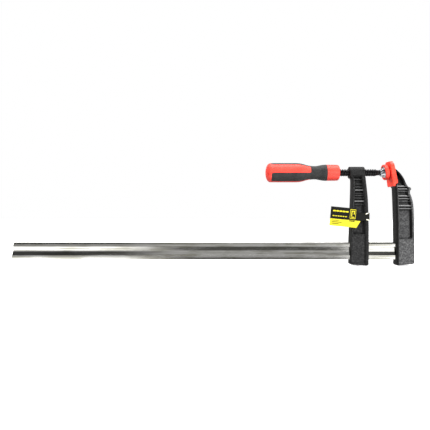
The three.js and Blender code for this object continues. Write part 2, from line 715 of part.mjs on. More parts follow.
function tagCard() {
  const outline = [
    [0, 0],
    [CARD_WIDTH + 1.5, 0],
    [CARD_WIDTH + CARD_BAND_OVERRUN, CARD_BAND_HEIGHT],
    [CARD_WIDTH, CARD_BAND_HEIGHT],
    [CARD_WIDTH, CARD_HEIGHT],
    [0, CARD_HEIGHT],
  ];
  const geometry = slab(outline, 0, CARD_THICKNESS);
  geometry.rotateY(THREE.MathUtils.degToRad(CARD_TILT));
  geometry.translate(
    SLIDE_OUTER - CARD_LEFT_OF_ARM,
    -STRAP_OUTER_Y - FIT_GAP - CARD_THICKNESS,
    AXIS_Z - CARD_BELOW_AXIS,
  );
  return geometry;
}

// ---- Materials and assembly ---------------------------------------------------------------------

function material(color, roughness, metalness) {
  return new THREE.MeshStandardMaterial({ color, roughness, metalness });
}

const platedSteel = () => material(0xb9b8b0, 0.25, 1);
const hammeredPaint = () => material(0x2a2a2a, 0.55, 0);
const blackenedSteel = () => material(0x141414, 0.4, 0.6);
const redPlastic = () => material(0xe8442f, 0.35, 0);
const softGrip = () => material(0x2f2f30, 0.7, 0);
const printedCard = () => material(0x17170f, 0.5, 0);

function node(name, geometry, finish) {
  const mesh = new THREE.Mesh(geometry, finish);
  mesh.name = name;
  return mesh;
}

const clamp = new THREE.Group();
clamp.add(
  node("rail", geometryOf(rail()), platedSteel()),
  node("fixed_jaw", geometryOf(fixedJaw()), hammeredPaint()),
  node("fixed_jaw_cap", geometryOf(fixedCap()), redPlastic()),
  node("sliding_jaw", geometryOf(slidingJaw()), hammeredPaint()),
  node("spindle", spindle(), blackenedSteel()),
  node("swivel_ball", swivelBall(), platedSteel()),
  node("swivel_plate", swivelPlate(), platedSteel()),
  node("swivel_cap", swivelCap(), redPlastic()),
  node("handle_core", geometryOf(handleCore()), redPlastic()),
  node("handle_grip", geometryOf(handleGrip()), softGrip()),
  node("tag_strap", geometryOf(tagStrap()), printedCard()),
  node("tag_card", tagCard(), printedCard()),
);
["upper", "lower"].forEach((place, i) => {
  const pin = pinGeometry(pinHeights()[i], PIN_DIAMETER / 2, PIN_FRONT, PIN_BACK);
  clamp.add(node(`fixed_jaw_pin_${place}`, pin, platedSteel()));
});

export default clamp;
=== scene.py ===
"""Looks for an F clamp: cast jaws, plated rail, threaded spindle, two-part handle, swivel pad and hang tag.

Every piece is worked out in millimetres in the clamp's own frame and put into its mesh in metres. X runs
along the rail towards the fixed jaw, -Y is the front, Z goes up the arms.
"""

import json
import logging
import math
from abc import ABC, abstractmethod
from dataclasses import dataclass, field
from enum import Enum
from functools import partial, reduce
from typing import Callable, Sequence

import bmesh
import bpy
import numpy as np
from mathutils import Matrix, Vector


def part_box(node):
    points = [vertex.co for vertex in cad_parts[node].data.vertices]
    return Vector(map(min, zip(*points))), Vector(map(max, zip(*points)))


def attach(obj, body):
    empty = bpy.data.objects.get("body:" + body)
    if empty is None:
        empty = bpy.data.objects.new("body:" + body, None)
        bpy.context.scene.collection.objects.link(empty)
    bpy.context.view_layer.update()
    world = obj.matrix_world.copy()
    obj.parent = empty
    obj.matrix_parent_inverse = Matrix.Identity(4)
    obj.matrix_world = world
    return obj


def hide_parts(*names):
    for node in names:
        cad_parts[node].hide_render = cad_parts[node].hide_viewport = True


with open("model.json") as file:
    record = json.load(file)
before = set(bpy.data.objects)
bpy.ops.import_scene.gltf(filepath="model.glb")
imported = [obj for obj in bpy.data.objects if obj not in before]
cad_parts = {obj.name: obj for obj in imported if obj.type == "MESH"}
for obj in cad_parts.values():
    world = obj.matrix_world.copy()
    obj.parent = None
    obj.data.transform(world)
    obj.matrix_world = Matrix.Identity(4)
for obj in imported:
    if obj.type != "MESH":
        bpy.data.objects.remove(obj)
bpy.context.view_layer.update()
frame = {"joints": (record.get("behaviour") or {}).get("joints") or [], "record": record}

MM = 0.001
RAIL_SWELL = 1.6  # mm by which the drawn rail is taller than the CAD's, on its underside
PIN_PLAY = 0.15  # mm round each pin
PINS = {"upper_pin": "fixed_jaw_pin_upper", "lower_pin": "fixed_jaw_pin_lower"}
# Mesh attribute for the highlights painted on the jaws' rib fronts.
RIB_HIGHLIGHT = "wear_and_highlight"
# Mesh attribute for the shade painted on the jaws.
PAINTED_SHADE = "plain"
INK = "ink"
LOG = logging.getLogger("f_clamp")

Array = np.ndarray
Knots = Sequence[tuple[float, float]]
Inputs = dict[str | int, object]


# ---- Shape functions -------------------------------------------------------------------------------------


def smoothstep(low: float, high: float, value: Array) -> Array:
    """Rise from 0 at low to 1 at high, level at both ends: t squared times (3 minus 2 t).

    Args:
        low: Value where the rise starts.
        high: Value where it ends.
        value: Places to work it out at.

    Returns:
        The rise, from 0 to 1.
    """
    t = np.clip((value - low) / (high - low), 0.0, 1.0)
    return t * t * (3.0 - 2.0 * t)


def curve(knots: Knots, value: Array) -> Array:
    """Smooth curve through knots that never overshoots them (cubic Hermite with limited slopes).

    Args:
        knots: Points (place, height) in rising order of place.
        value: Places to work it out at.

    Returns:
        The heights.
    """
    x, y = np.array(knots, float).T
    step = np.diff(x)
    slope = np.diff(y) / step
    same_way = slope[:-1] * slope[1:] > 0
    inner = np.where(same_way, 2 * slope[:-1] * slope[1:] / (slope[:-1] + slope[1:] + 1e-12), 0.0)
    tangent = np.concatenate([[slope[0]], inner, [slope[-1]]])
    i = np.clip(np.searchsorted(x, value, side="right") - 1, 0, len(step) - 1)
    t = np.clip((value - x[i]) / step[i], 0.0, 1.0)
    rise = y[i] * (1 + 2 * t) * (1 - t) ** 2 + y[i + 1] * t * t * (3 - 2 * t)
    return rise + step[i] * (tangent[i] * t * (1 - t) ** 2 - tangent[i + 1] * t * t * (1 - t))


def round_off(distance: Array, radius: float) -> Array:
    """How far a face falls away at a distance from an edge that is rounded as a quarter circle.

    Args:
        distance: Distance inwards from the edge.
        radius: Radius of the edge.

    Returns:
        The fall, from the radius at the edge to 0 at one radius from it.
    """
    d = np.clip(distance, 0.0, radius)
    return radius - np.sqrt(np.maximum(radius**2 - (radius - d) ** 2, 0.0))


def rounded(points: Knots, radii: float | Sequence[float], steps: int = 5, closed: bool = True) -> Array:
    """Outline whose corners are replaced by quadratic curves that start one radius away from each corner.

    Args:
        points: Corners in order.
        radii: One radius for all corners, or one for each.
        steps: Points on each rounded corner, less one.
        closed: Whether the last corner joins the first.

    Returns:
        The rounded outline, one point a row.
    """
    corners = np.array(points, float)
    sizes = np.broadcast_to(np.array(radii, float), (len(corners),))
    t = np.linspace(0.0, 1.0, steps + 1)[:, None]
    rows = []
    for k, corner in enumerate(corners):
        if not closed and k in (0, len(corners) - 1):
            rows.append(corner[None])
            continue
        to_last = corners[k - 1] - corner
        to_next = corners[(k + 1) % len(corners)] - corner
        last_length, next_length = np.linalg.norm(to_last), np.linalg.norm(to_next)
        reach = min(sizes[k], 0.49 * last_length, 0.49 * next_length)
        if reach < 1e-6:
            rows.append(corner[None])
            continue
        start = corner + to_last * reach / last_length
        end = corner + to_next * reach / next_length
        rows.append((1 - t) ** 2 * start + 2 * t * (1 - t) * corner + t**2 * end)
    return np.concatenate(rows)


def densified(points: Array, longest: float) -> Array:
    """Open polyline with extra points, so that no step is longer than the one given.

    Args:
        points: The polyline, one point a row.
        longest: Longest step allowed.

    Returns:
        The denser polyline.
    """
    lengths = np.linalg.norm(np.diff(points, axis=0), axis=1)
    place = np.concatenate([[0.0], np.cumsum(lengths)])
    extra = [np.linspace(a, b, max(int(np.ceil((b - a) / longest)), 1) + 1)[:-1] for a, b in
             zip(place[:-1], place[1:])]
    stations = np.append(np.concatenate(extra), place[-1])
    return np.stack([np.interp(stations, place, points[:, i]) for i in range(points.shape[1])], axis=1)


def seam(offset: Array, half_width: float) -> Array:
    """Narrow channel as a parabola: 1 in its middle and 0 from half a width on."""
    return np.maximum(1.0 - (offset / half_width) ** 2, 0.0)


# ---- Meshes ----------------------------------------------------------------------------------------------


def link(name: str, mesh: bpy.types.Mesh) -> bpy.types.Object:
    """Put a mesh into the scene as an object at the origin.

    Args:
        name: The object's name.
        mesh: Its mesh.

    Returns:
        The new object.
    """
    piece = bpy.data.objects.new(name, mesh)
    bpy.context.scene.collection.objects.link(piece)
    return piece


def quads(index: Array) -> Array:
    """Four-sided faces between the rows of a grid of vertex numbers whose rows close on themselves.

    Args:
        index: The vertex numbers, one row for each loop.

    Returns:
        The faces, one a row.
    """
    far = np.roll(index, -1, axis=1)
    return np.stack([index[:-1], far[:-1], far[1:], index[1:]], axis=-1).reshape(-1, 4)


def surface(name: str, points: Array, close_ends: bool = True) -> bpy.types.Object:
    """Closed surface from a grid of points: each row is a loop, and each end loop is filled.

    Args:
        name: The object's name.
        points: Grid of shape (rows, columns, 3) in millimetres.
        close_ends: Whether the first and last rows are filled.

    Returns:
        The new object, with doubles merged and faces pointing out.
    """
    index = np.arange(points[..., 0].size).reshape(points.shape[:2])
    faces = quads(index).tolist()
    if close_ends:
        faces += [index[0][::-1].tolist(), index[-1].tolist()]
    mesh = bpy.data.meshes.new(name)
    mesh.from_pydata((points.reshape(-1, 3) * MM).tolist(), [], faces)
    clean(mesh)
    return link(name, mesh)


def clean(mesh: bpy.types.Mesh, merge: bool = True) -> None:
    """Turn the faces outwards, after doubles are merged and faces without area are dropped.

    Args:
        mesh: The mesh to clean, in place.
        merge: Whether doubles are merged first, and faces with many sides made into triangles.
    """
    work = bmesh.new()
    work.from_mesh(mesh)
    if merge:
        bmesh.ops.remove_doubles(work, verts=work.verts, dist=2e-7)
        bmesh.ops.dissolve_degenerate(work, edges=work.edges, dist=1e-7)
        many_sided = [f for f in work.faces if len(f.verts) > 4]
        bmesh.ops.triangulate(work, faces=many_sided)
    bmesh.ops.recalc_face_normals(work, faces=work.faces)
    work.to_mesh(mesh)
    work.free()


def turned(name: str, profile: Array, axis_z: float, segments: int = 96,
           swell: Callable[[Array, Array], Array] | None = None) -> bpy.types.Object:
    """Solid turned about a line along X: the point at angle a is (x, -r cos a, axis + r sin a).

    Args:
        name: The object's name.
        profile: Rows (x, radius) in millimetres, starting and ending on the axis or closing on itself.
        axis_z: Height of the line.
        segments: Steps round the line.
        swell: Radius to add at each x and angle, or None.

    Returns:
        The new object.
    """
    angle = np.linspace(0.0, 2 * np.pi, segments, endpoint=False)
    x = np.repeat(profile[:, :1], segments, axis=1)
    radius = np.repeat(profile[:, 1:2], segments, axis=1)
    if swell is not None:
        radius = np.maximum(radius + swell(x, angle[None, :]) * (radius > 1e-6), 0.0)
    points = np.stack([x, -radius * np.cos(angle), axis_z + radius * np.sin(angle)], axis=-1)
    return surface(name, points, close_ends=False)


def points_of(piece: bpy.types.Object) -> Array:
    """Vertices of a piece in millimetres, one point a row.

    Args:
        piece: The piece.

    Returns:
        The points.
    """
    flat = np.empty(len(piece.data.vertices) * 3, np.float32)
    piece.data.vertices.foreach_get("co", flat)
    return flat.reshape(-1, 3).astype(float) / MM


def store(piece: bpy.types.Object, name: str, values: Array) -> None:
    """Store one number for each vertex under a name.

    Args:
        piece: The piece.
        name: The attribute's name.
        values: One number for each vertex.
    """
    attribute = piece.data.attributes.new(name, "FLOAT", "POINT")
    attribute.data.foreach_set("value", values.ravel().astype(np.float32))


class Cut(Enum):
    """Ways to combine two closed solids."""

    JOIN = "UNION"
    REMOVE = "DIFFERENCE"
    KEEP_COMMON = "INTERSECT"


def combine(piece: bpy.types.Object, other: bpy.types.Object, how: Cut) -> None:
    """Combine a piece with another solid, in the piece's own mesh, and use the other solid up.

    Args:
        piece: The piece to change.
        other: The other solid.
        how: The way to combine them.
    """
    step = piece.modifiers.new("combine", "BOOLEAN")
    step.operation = how.value
    step.solver = "MANIFOLD"
    step.object = other
    baked(piece)
    bpy.data.objects.remove(other)


def baked(piece: bpy.types.Object) -> None:
    """Apply a piece's modifiers to its mesh.

    Args:
        piece: The piece to change.
    """
    bpy.context.view_layer.update()
    graph = bpy.context.evaluated_depsgraph_get()
    mesh = bpy.data.meshes.new_from_object(piece.evaluated_get(graph))
    old = piece.data
    piece.modifiers.clear()
    piece.data = mesh
    mesh.name = old.name
    if old.users == 0:
        bpy.data.meshes.remove(old)


def paint(piece: bpy.types.Object, material: bpy.types.Material) -> None:
    """Give a piece one material all over.

    Args:
        piece: The piece.
        material: Its material.
    """
    mesh = piece.data
    mesh.materials.clear()
    mesh.materials.append(material)
    mesh.polygons.foreach_set("material_index", np.zeros(len(mesh.polygons), np.int32))
    mesh.update()


# ---- Finishes --------------------------------------------------------------------------------------------


class Sheet:
    """A node tree with short ways to add nodes and join them."""

    def __init__(self, tree: bpy.types.NodeTree) -> None:
        """Work on a node tree."""
        self.tree = tree

    def node(self, kind: str, inputs: Inputs | None = None, **settings: object) -> bpy.types.Node:
        """Add a node, set its properties and feed its inputs.

        Args:
            kind: The node's type.
            inputs: An output socket, a number or a colour for each input, by name or place.
            **settings: Property names and values.

        Returns:
            The new node.
        """
        made = self.tree.nodes.new(kind)
        for key, value in settings.items():
            setattr(made, key, value)
        for key, value in (inputs or {}).items():
            self.feed(made.inputs[key], value)
        return made

    def feed(self, socket: bpy.types.NodeSocket, value: object) -> None:
        """Join an output to an input, or set the input's own value.

        Args:
            socket: The input.
            value: An output socket, or a number or colour.
        """
        if isinstance(value, bpy.types.NodeSocket):
            self.tree.links.new(value, socket)
        else:
            socket.default_value = value

    def between(self, value: bpy.types.NodeSocket, low: float, high: float,
                from_low: float = 0.3, from_high: float = 0.7) -> bpy.types.NodeSocket:
        """Value stretched smoothly from one range to another and held inside it."""
        ends = {"Value": value, "From Min": from_low, "From Max": from_high, "To Min": low, "To Max": high}
        return self.node("ShaderNodeMapRange", ends, interpolation_type="SMOOTHSTEP").outputs["Result"]

    def math(self, operation: str, first: object, second: object) -> bpy.types.NodeSocket:
        """Two values put together by an operation of the Math node."""
        return self.node("ShaderNodeMath", {0: first, 1: second}, operation=operation).outputs[0]

    def sum(self, first: object, second: object) -> bpy.types.NodeSocket:
        """Sum of two values."""
        return self.math("ADD", first, second)

    def difference(self, first: object, second: object) -> bpy.types.NodeSocket:
        """First value less the second."""
        return self.math("SUBTRACT", first, second)

    def product(self, *values: object) -> bpy.types.NodeSocket:
        """Product of several values."""
        return reduce(partial(self.math, "MULTIPLY"), values)


class NodeSheet(Sheet):
    """A material's node tree, with patterns laid out in object coordinates."""

    def __init__(self, name: str) -> None:
        """Start a material with only its shader and output.

        Args:
            name: The material's name.
        """
        self.material = bpy.data.materials.new(name)
        self.material.use_nodes = True
        super().__init__(self.material.node_tree)
        self.shader = self.tree.nodes["Principled BSDF"]
        self.place = self.tree.nodes.new("ShaderNodeTexCoord").outputs["Object"]

    def stored(self, name: str) -> bpy.types.NodeSocket:
        """Number stored on the mesh under a name."""
        return self.node("ShaderNodeAttribute", attribute_name=name).outputs["Fac"]

    def stretched(self, scale: Sequence[float]) -> bpy.types.NodeSocket:
        """Object coordinates scaled along each axis, so that a pattern is drawn out."""
        return self.node("ShaderNodeMapping", {"Vector": self.place, "Scale": scale}).outputs["Vector"]

    def noise(self, scale: float, detail: float = 3.0, rough: float = 0.5,
              at: bpy.types.NodeSocket | None = None) -> bpy.types.NodeSocket:
        """Noise pattern of a scale per metre, from object coordinates unless told otherwise."""
        look = {"Vector": at or self.place, "Scale": scale, "Detail": detail, "Roughness": rough}
        return self.node("ShaderNodeTexNoise", look).outputs["Fac"]

    def cells(self, scale: float) -> bpy.types.NodeSocket:
        """Rounded cell pattern of a scale per metre."""
        look = {"Vector": self.place, "Scale": scale}
        return self.node("ShaderNodeTexVoronoi", look, feature="SMOOTH_F1").outputs["Distance"]

    def mix(self, factor: object, first: object, second: object) -> bpy.types.NodeSocket:
        """Colour mixed from a first to a second by a factor."""
        colours = {"Factor": factor, "A": first, "B": second}
        return self.node("ShaderNodeMix", colours, data_type="RGBA").outputs["Result"]

    def bump(self, height: bpy.types.NodeSocket, strength: float, depth_mm: float,
             over: bpy.types.NodeSocket | None = None) -> bpy.types.NodeSocket:
        """Bump from a height pattern, optionally laid over another bump."""
        look = {"Strength": strength, "Distance": depth_mm * MM, "Height": height}
        return self.node("ShaderNodeBump", look | ({"Normal": over} if over else {})).outputs["Normal"]

    def finish(self, **inputs: object) -> bpy.types.Material:
        """Set the shader's inputs by name, with underscores for spaces, and hand over the material.

        Args:
            **inputs: Names and values.

        Returns:
            The material.
        """
        for key, value in inputs.items():
            self.feed(self.shader.inputs[key.replace("_", " ")], value)
        return self.material


def grey(value: float, blue: float = 1.0) -> tuple[float, float, float, float]:
    """Opaque linear grey, with its blue scaled by a factor."""
    return (value, value, value * blue, 1.0)


def rgb(red: float, green: float, blue: float) -> tuple[float, float, float, float]:
    """Opaque linear colour."""
    return (red, green, blue, 1.0)


@dataclass(frozen=True)
class HammeredPaint:
    """Black hammered enamel on a rough casting, with painted shade and painted highlights.

    Attributes:
        name: Material name.
        base: Darkest linear grey.
        crest: Grey of the raised flecks.
        brightened: Grey of the highlights painted on the ribs' fronts.
        plain: Grey of the painted shade, plain and without flecks.
        roughness: Middle roughness.
    """

    name: str
    base: float = 0.006
    crest: float = 0.045
    brightened: float = 0.12
    plain: float = 0.01
    roughness: float = 0.48

    def material(self) -> bpy.types.Material:
        """Cells and fine grain raise the paint, and the flecks between them are paler.

        Returns:
            The material.
        """
        sheet = NodeSheet(self.name)
        cells = sheet.cells(430.0)
        grain = sheet.noise(1500.0, 5.0, 0.6)
        clouds = sheet.noise(380.0, 5.0, 0.72)
        height = sheet.sum(sheet.product(cells, 0.8), sheet.product(grain, 0.45))
        fleck = sheet.sum(sheet.between(clouds, 0.0, 0.75, 0.42, 0.64),
                          sheet.between(grain, 0.0, 0.25, 0.4, 0.6))
        tone = sheet.mix(fleck, grey(self.base, 1.05), grey(self.crest))
        # Painted shade: a plain darker grey takes the place of the flecked tone.
        tone = sheet.mix(sheet.stored(PAINTED_SHADE), tone, grey(self.plain))
        # Painted highlight: a paler grey on the ribs' fronts.
        tone = sheet.mix(sheet.stored(RIB_HIGHLIGHT), tone, grey(self.brightened))
        rough = sheet.between(clouds, self.roughness - 0.08, self.roughness + 0.14)
        normal = sheet.bump(height, 0.85, 0.45)
        return sheet.finish(Base_Color=tone, Roughness=rough, Normal=normal,
                            Specular_IOR_Level=0.25)


@dataclass(frozen=True)
class PlatedSteel:
    """Bright plated drawn steel with long draw marks.

    Attributes:
        name: Material name.
        pale: Colour of the plating.
        dull: Colour where it is dulled.
        smooth: Lowest roughness.
        rough: Highest roughness.
    """

    name: str
    pale: tuple[float, float, float] = (0.86, 0.85, 0.81)
    dull: tuple[float, float, float] = (0.55, 0.54, 0.47)
    smooth: float = 0.07
    rough: float = 0.2

    def material(self) -> bpy.types.Material:
        """Streaks drawn out along X change the colour, the roughness and the surface a little.

        Returns:
            The material.
        """
        sheet = NodeSheet(self.name)
        streaks = sheet.noise(1.0, 5.0, 0.6, sheet.stretched((7.0, 260.0, 620.0)))
        patches = sheet.noise(1.0, 3.0, 0.5, sheet.stretched((22.0, 60.0, 90.0)))
        scratches = sheet.noise(1.0, 2.0, 0.5, sheet.stretched((30.0, 1500.0, 2400.0)))
        wear_and_highlight = sheet.product(streaks, patches)
        tone = sheet.mix(sheet.between(wear_and_highlight, 0.0, 1.0, 0.2, 0.36), rgb(*self.pale), rgb(*self.dull))
        rough = sheet.between(streaks, self.smooth, self.rough)
        normal = sheet.bump(scratches, 0.25, 0.03, sheet.bump(patches, 0.12, 0.4))
        return sheet.finish(Base_Color=tone, Metallic=1.0, Roughness=rough, Normal=normal)


@dataclass(frozen=True)
class WorkedSteel:
    """Turned or pressed steel, oiled or plated, with fine marks.

    Attributes:
        name: Material name.
        pale: Colour of the crests.
        dark: Colour of the hollows.
        roughness: Middle roughness.
        grain: Scale of the marks per metre.
    """

    name: str
    pale: tuple[float, float, float]
    dark: tuple[float, float, float]
    roughness: float = 0.3
    grain: float = 900.0

    def material(self) -> bpy.types.Material:
        """Fine grain and clouds vary the colour and the roughness.

        Returns:
            The material.
        """
        sheet = NodeSheet(self.name)
        clouds = sheet.noise(self.grain / 5, 4.0, 0.6)
        grain = sheet.noise(self.grain, 3.0, 0.6)
        tone = sheet.mix(sheet.between(clouds, 0.0, 1.0), rgb(*self.dark), rgb(*self.pale))
        rough = sheet.between(grain, self.roughness - 0.08, self.roughness + 0.12)
        normal = sheet.bump(grain, 0.3, 0.05)
        return sheet.finish(Base_Color=tone, Metallic=1.0, Roughness=rough, Normal=normal)


@dataclass(frozen=True)
class MouldedPlastic:
    """Moulded plastic with a soft gloss, faint flow marks and a fine sparked texture.

    Attributes:
        name: Material name.
        colour: Main linear colour.
        shade: Colour of the flow marks.
        roughness: Middle roughness.
        texture: Strength of the sparked texture.
        glow: Weight of the light that goes under the surface.
    """

    name: str
    colour: tuple[float, float, float]
    shade: tuple[float, float, float]
    roughness: float = 0.38
    texture: float = 0.12
    glow: float = 0.0

    def material(self) -> bpy.types.Material:
        """Flow marks drawn out along X tint the colour, and fine grain gives the sparked texture.

        Returns:
            The material.
        """
        sheet = NodeSheet(self.name)
        flow = sheet.noise(1.0, 3.0, 0.5, sheet.stretched((18.0, 170.0, 170.0)))
        grain = sheet.noise(2600.0, 2.0, 0.5)
        tone = sheet.mix(sheet.between(flow, 0.0, 1.0), rgb(*self.colour), rgb(*self.shade))
        rough = sheet.between(grain, self.roughness - 0.05, self.roughness + 0.08)
        normal = sheet.bump(grain, self.texture, 0.05)
        return sheet.finish(Base_Color=tone, Roughness=rough, Normal=normal, Specular_IOR_Level=0.4,
                            Subsurface_Weight=self.glow, Subsurface_Scale=0.002)


@dataclass(frozen=True)
class SoftTouch:
    """Charcoal elastomer with a fine pebbled skin and a faint bloom.

    Attributes:
        name: Material name.
        shade: Linear grey of the skin.
    """

    name: str
    shade: float = 0.02

    def material(self) -> bpy.types.Material:
        """Small cells make the pebbles, and rubbed patches are a little paler and smoother.

        Returns:
            The material.
        """
        sheet = NodeSheet(self.name)
        pebbles = sheet.cells(1500.0)
        brightened = sheet.noise(120.0, 4.0, 0.6)
        tone = sheet.mix(sheet.between(brightened, 0.0, 1.0), grey(self.shade), grey(self.shade * 1.7, 0.988))
        rough = sheet.between(brightened, 0.52, 0.66)
        normal = sheet.bump(pebbles, 0.25, 0.12)
        return sheet.finish(Base_Color=tone, Roughness=rough, Normal=normal, Specular_IOR_Level=0.35,
                            Sheen_Weight=0.04, Sheen_Roughness=0.5)


@dataclass(frozen=True)
class PrintedCard:
    """Laminated card whose ink follows an attribute: 0 is black, 1 is yellow and 2 is white.

    Attributes:
        name: Material name.
    """

    name: str

    def material(self) -> bpy.types.Material:
        """The attribute picks the ink, and faint noise stands for the screen and the film over it.

        Returns:
            The material.
        """
        sheet = NodeSheet(self.name)
        ink = sheet.stored(INK)
        screen = sheet.noise(3200.0, 1.0, 0.5)
        waves = sheet.noise(70.0, 2.0, 0.5)
        black = sheet.mix(screen, grey(0.004), rgb(0.012, 0.012, 0.01))
        yellow = sheet.mix(screen, rgb(0.68, 0.6, 0.035), rgb(0.6, 0.52, 0.025))
        tone = sheet.mix(sheet.between(ink, 0.0, 1.0, 0.0, 1.0), black, yellow)
        tone = sheet.mix(sheet.between(ink, 0.0, 1.0, 1.0, 2.0), tone, rgb(0.85, 0.85, 0.83))
        rough = sheet.between(waves, 0.3, 0.42)
        return sheet.finish(Base_Color=tone, Roughness=rough, Normal=sheet.bump(waves, 0.2, 0.25),
                            Specular_IOR_Level=0.2)


# ---- Places read from the frame --------------------------------------------------------------------------


def corners_mm(node: str) -> tuple[Array, Array]:
    """Lowest and highest corner of a CAD node, in millimetres."""
    low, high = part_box(node)
    return np.array(low) / MM, np.array(high) / MM


def joint(name: str) -> dict:
    """A joint of the frame by its name."""
    return next(j for j in frame["joints"] if j["name"] == name)


def mount(name: str) -> dict:
    """A mount of the frame's record by its name."""
    return next(m for m in frame["record"]["mounts"] if m["name"] == name)


@dataclass(frozen=True)
class Layout:
    """Places that several pieces share, in millimetres, all read from the frame.

    Attributes:
        rail_low: Lowest corner of the rail, whose drawn section is a little taller than the CAD's.
        rail_high: Highest corner of the rail.
        axis_z: Height of the spindle's axis.
        ball_x: Centre of the swivel's ball.
        pad: Point on the fixed pad's pressing face.
        lean: Angle by which the pad leans, in radians.
    """

    rail_low: Array
    rail_high: Array
    axis_z: float
    ball_x: float
    pad: Array
    lean: float

    @classmethod
    def read(cls) -> "Layout":
        """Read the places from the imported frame.

        Returns:
            The places.
        """
        low, high = corners_mm("rail")
        low[2] -= RAIL_SWELL
        ball = np.array(joint("swivel_tilt")["pos_m"]) / MM
        face = mount("fixed_pad_face")
        lean = math.atan2(-face["axis"][2], -face["axis"][0])
        return cls(low, high, ball[2], ball[0], np.array(face["pos_m"]) / MM, lean)

    def on_pad(self, behind: Array, along: Array) -> tuple[Array, Array]:
        """X and Z of a point given by its place behind and along the fixed pad's pressing face."""
        c, s = math.cos(self.lean), math.sin(self.lean)
        return self.pad[0] + behind * c - along * s, self.pad[2] + behind * s + along * c


def finished(piece: bpy.types.Object, crease: float, material: bpy.types.Material, body: str, slot: str,
             *nodes: str) -> bpy.types.Object:
    """Shade and paint a piece, tie it to its body, and hide the CAD nodes that it stands for.

    Args:
        piece: The piece.
        crease: Angle in degrees from which an edge between two faces stays crisp.
        material: Its material.
        body: CAD body that it rides on.
        slot: Material slot of the record; not used.
        *nodes: CAD nodes that it replaces.

    Returns:
        The same piece.
    """
    piece.data.shade_smooth()
    piece.data.set_sharp_from_angle(angle=math.radians(crease))
    paint(piece, material)
    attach(piece, body)
    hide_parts(*nodes)
    LOG.info("%s: %d faces, rides on %s", piece.name, len(piece.data.polygons), body)
    return piece


# ---- Cast jaws -------------------------------------------------------------------------------------------


@dataclass(frozen=True)
class Rib:
    """A cross rib in a jaw's pocket.

    Attributes:
        height: Height of its middle.
        half_depth: How far it stands from the jaw's mid-plane.
        thickness: Its thickness.
        notch: Depth of the notch in the web just under it.
    """

    height: float
    half_depth: float
    thickness: float = 2.0
    notch: float = 0.0


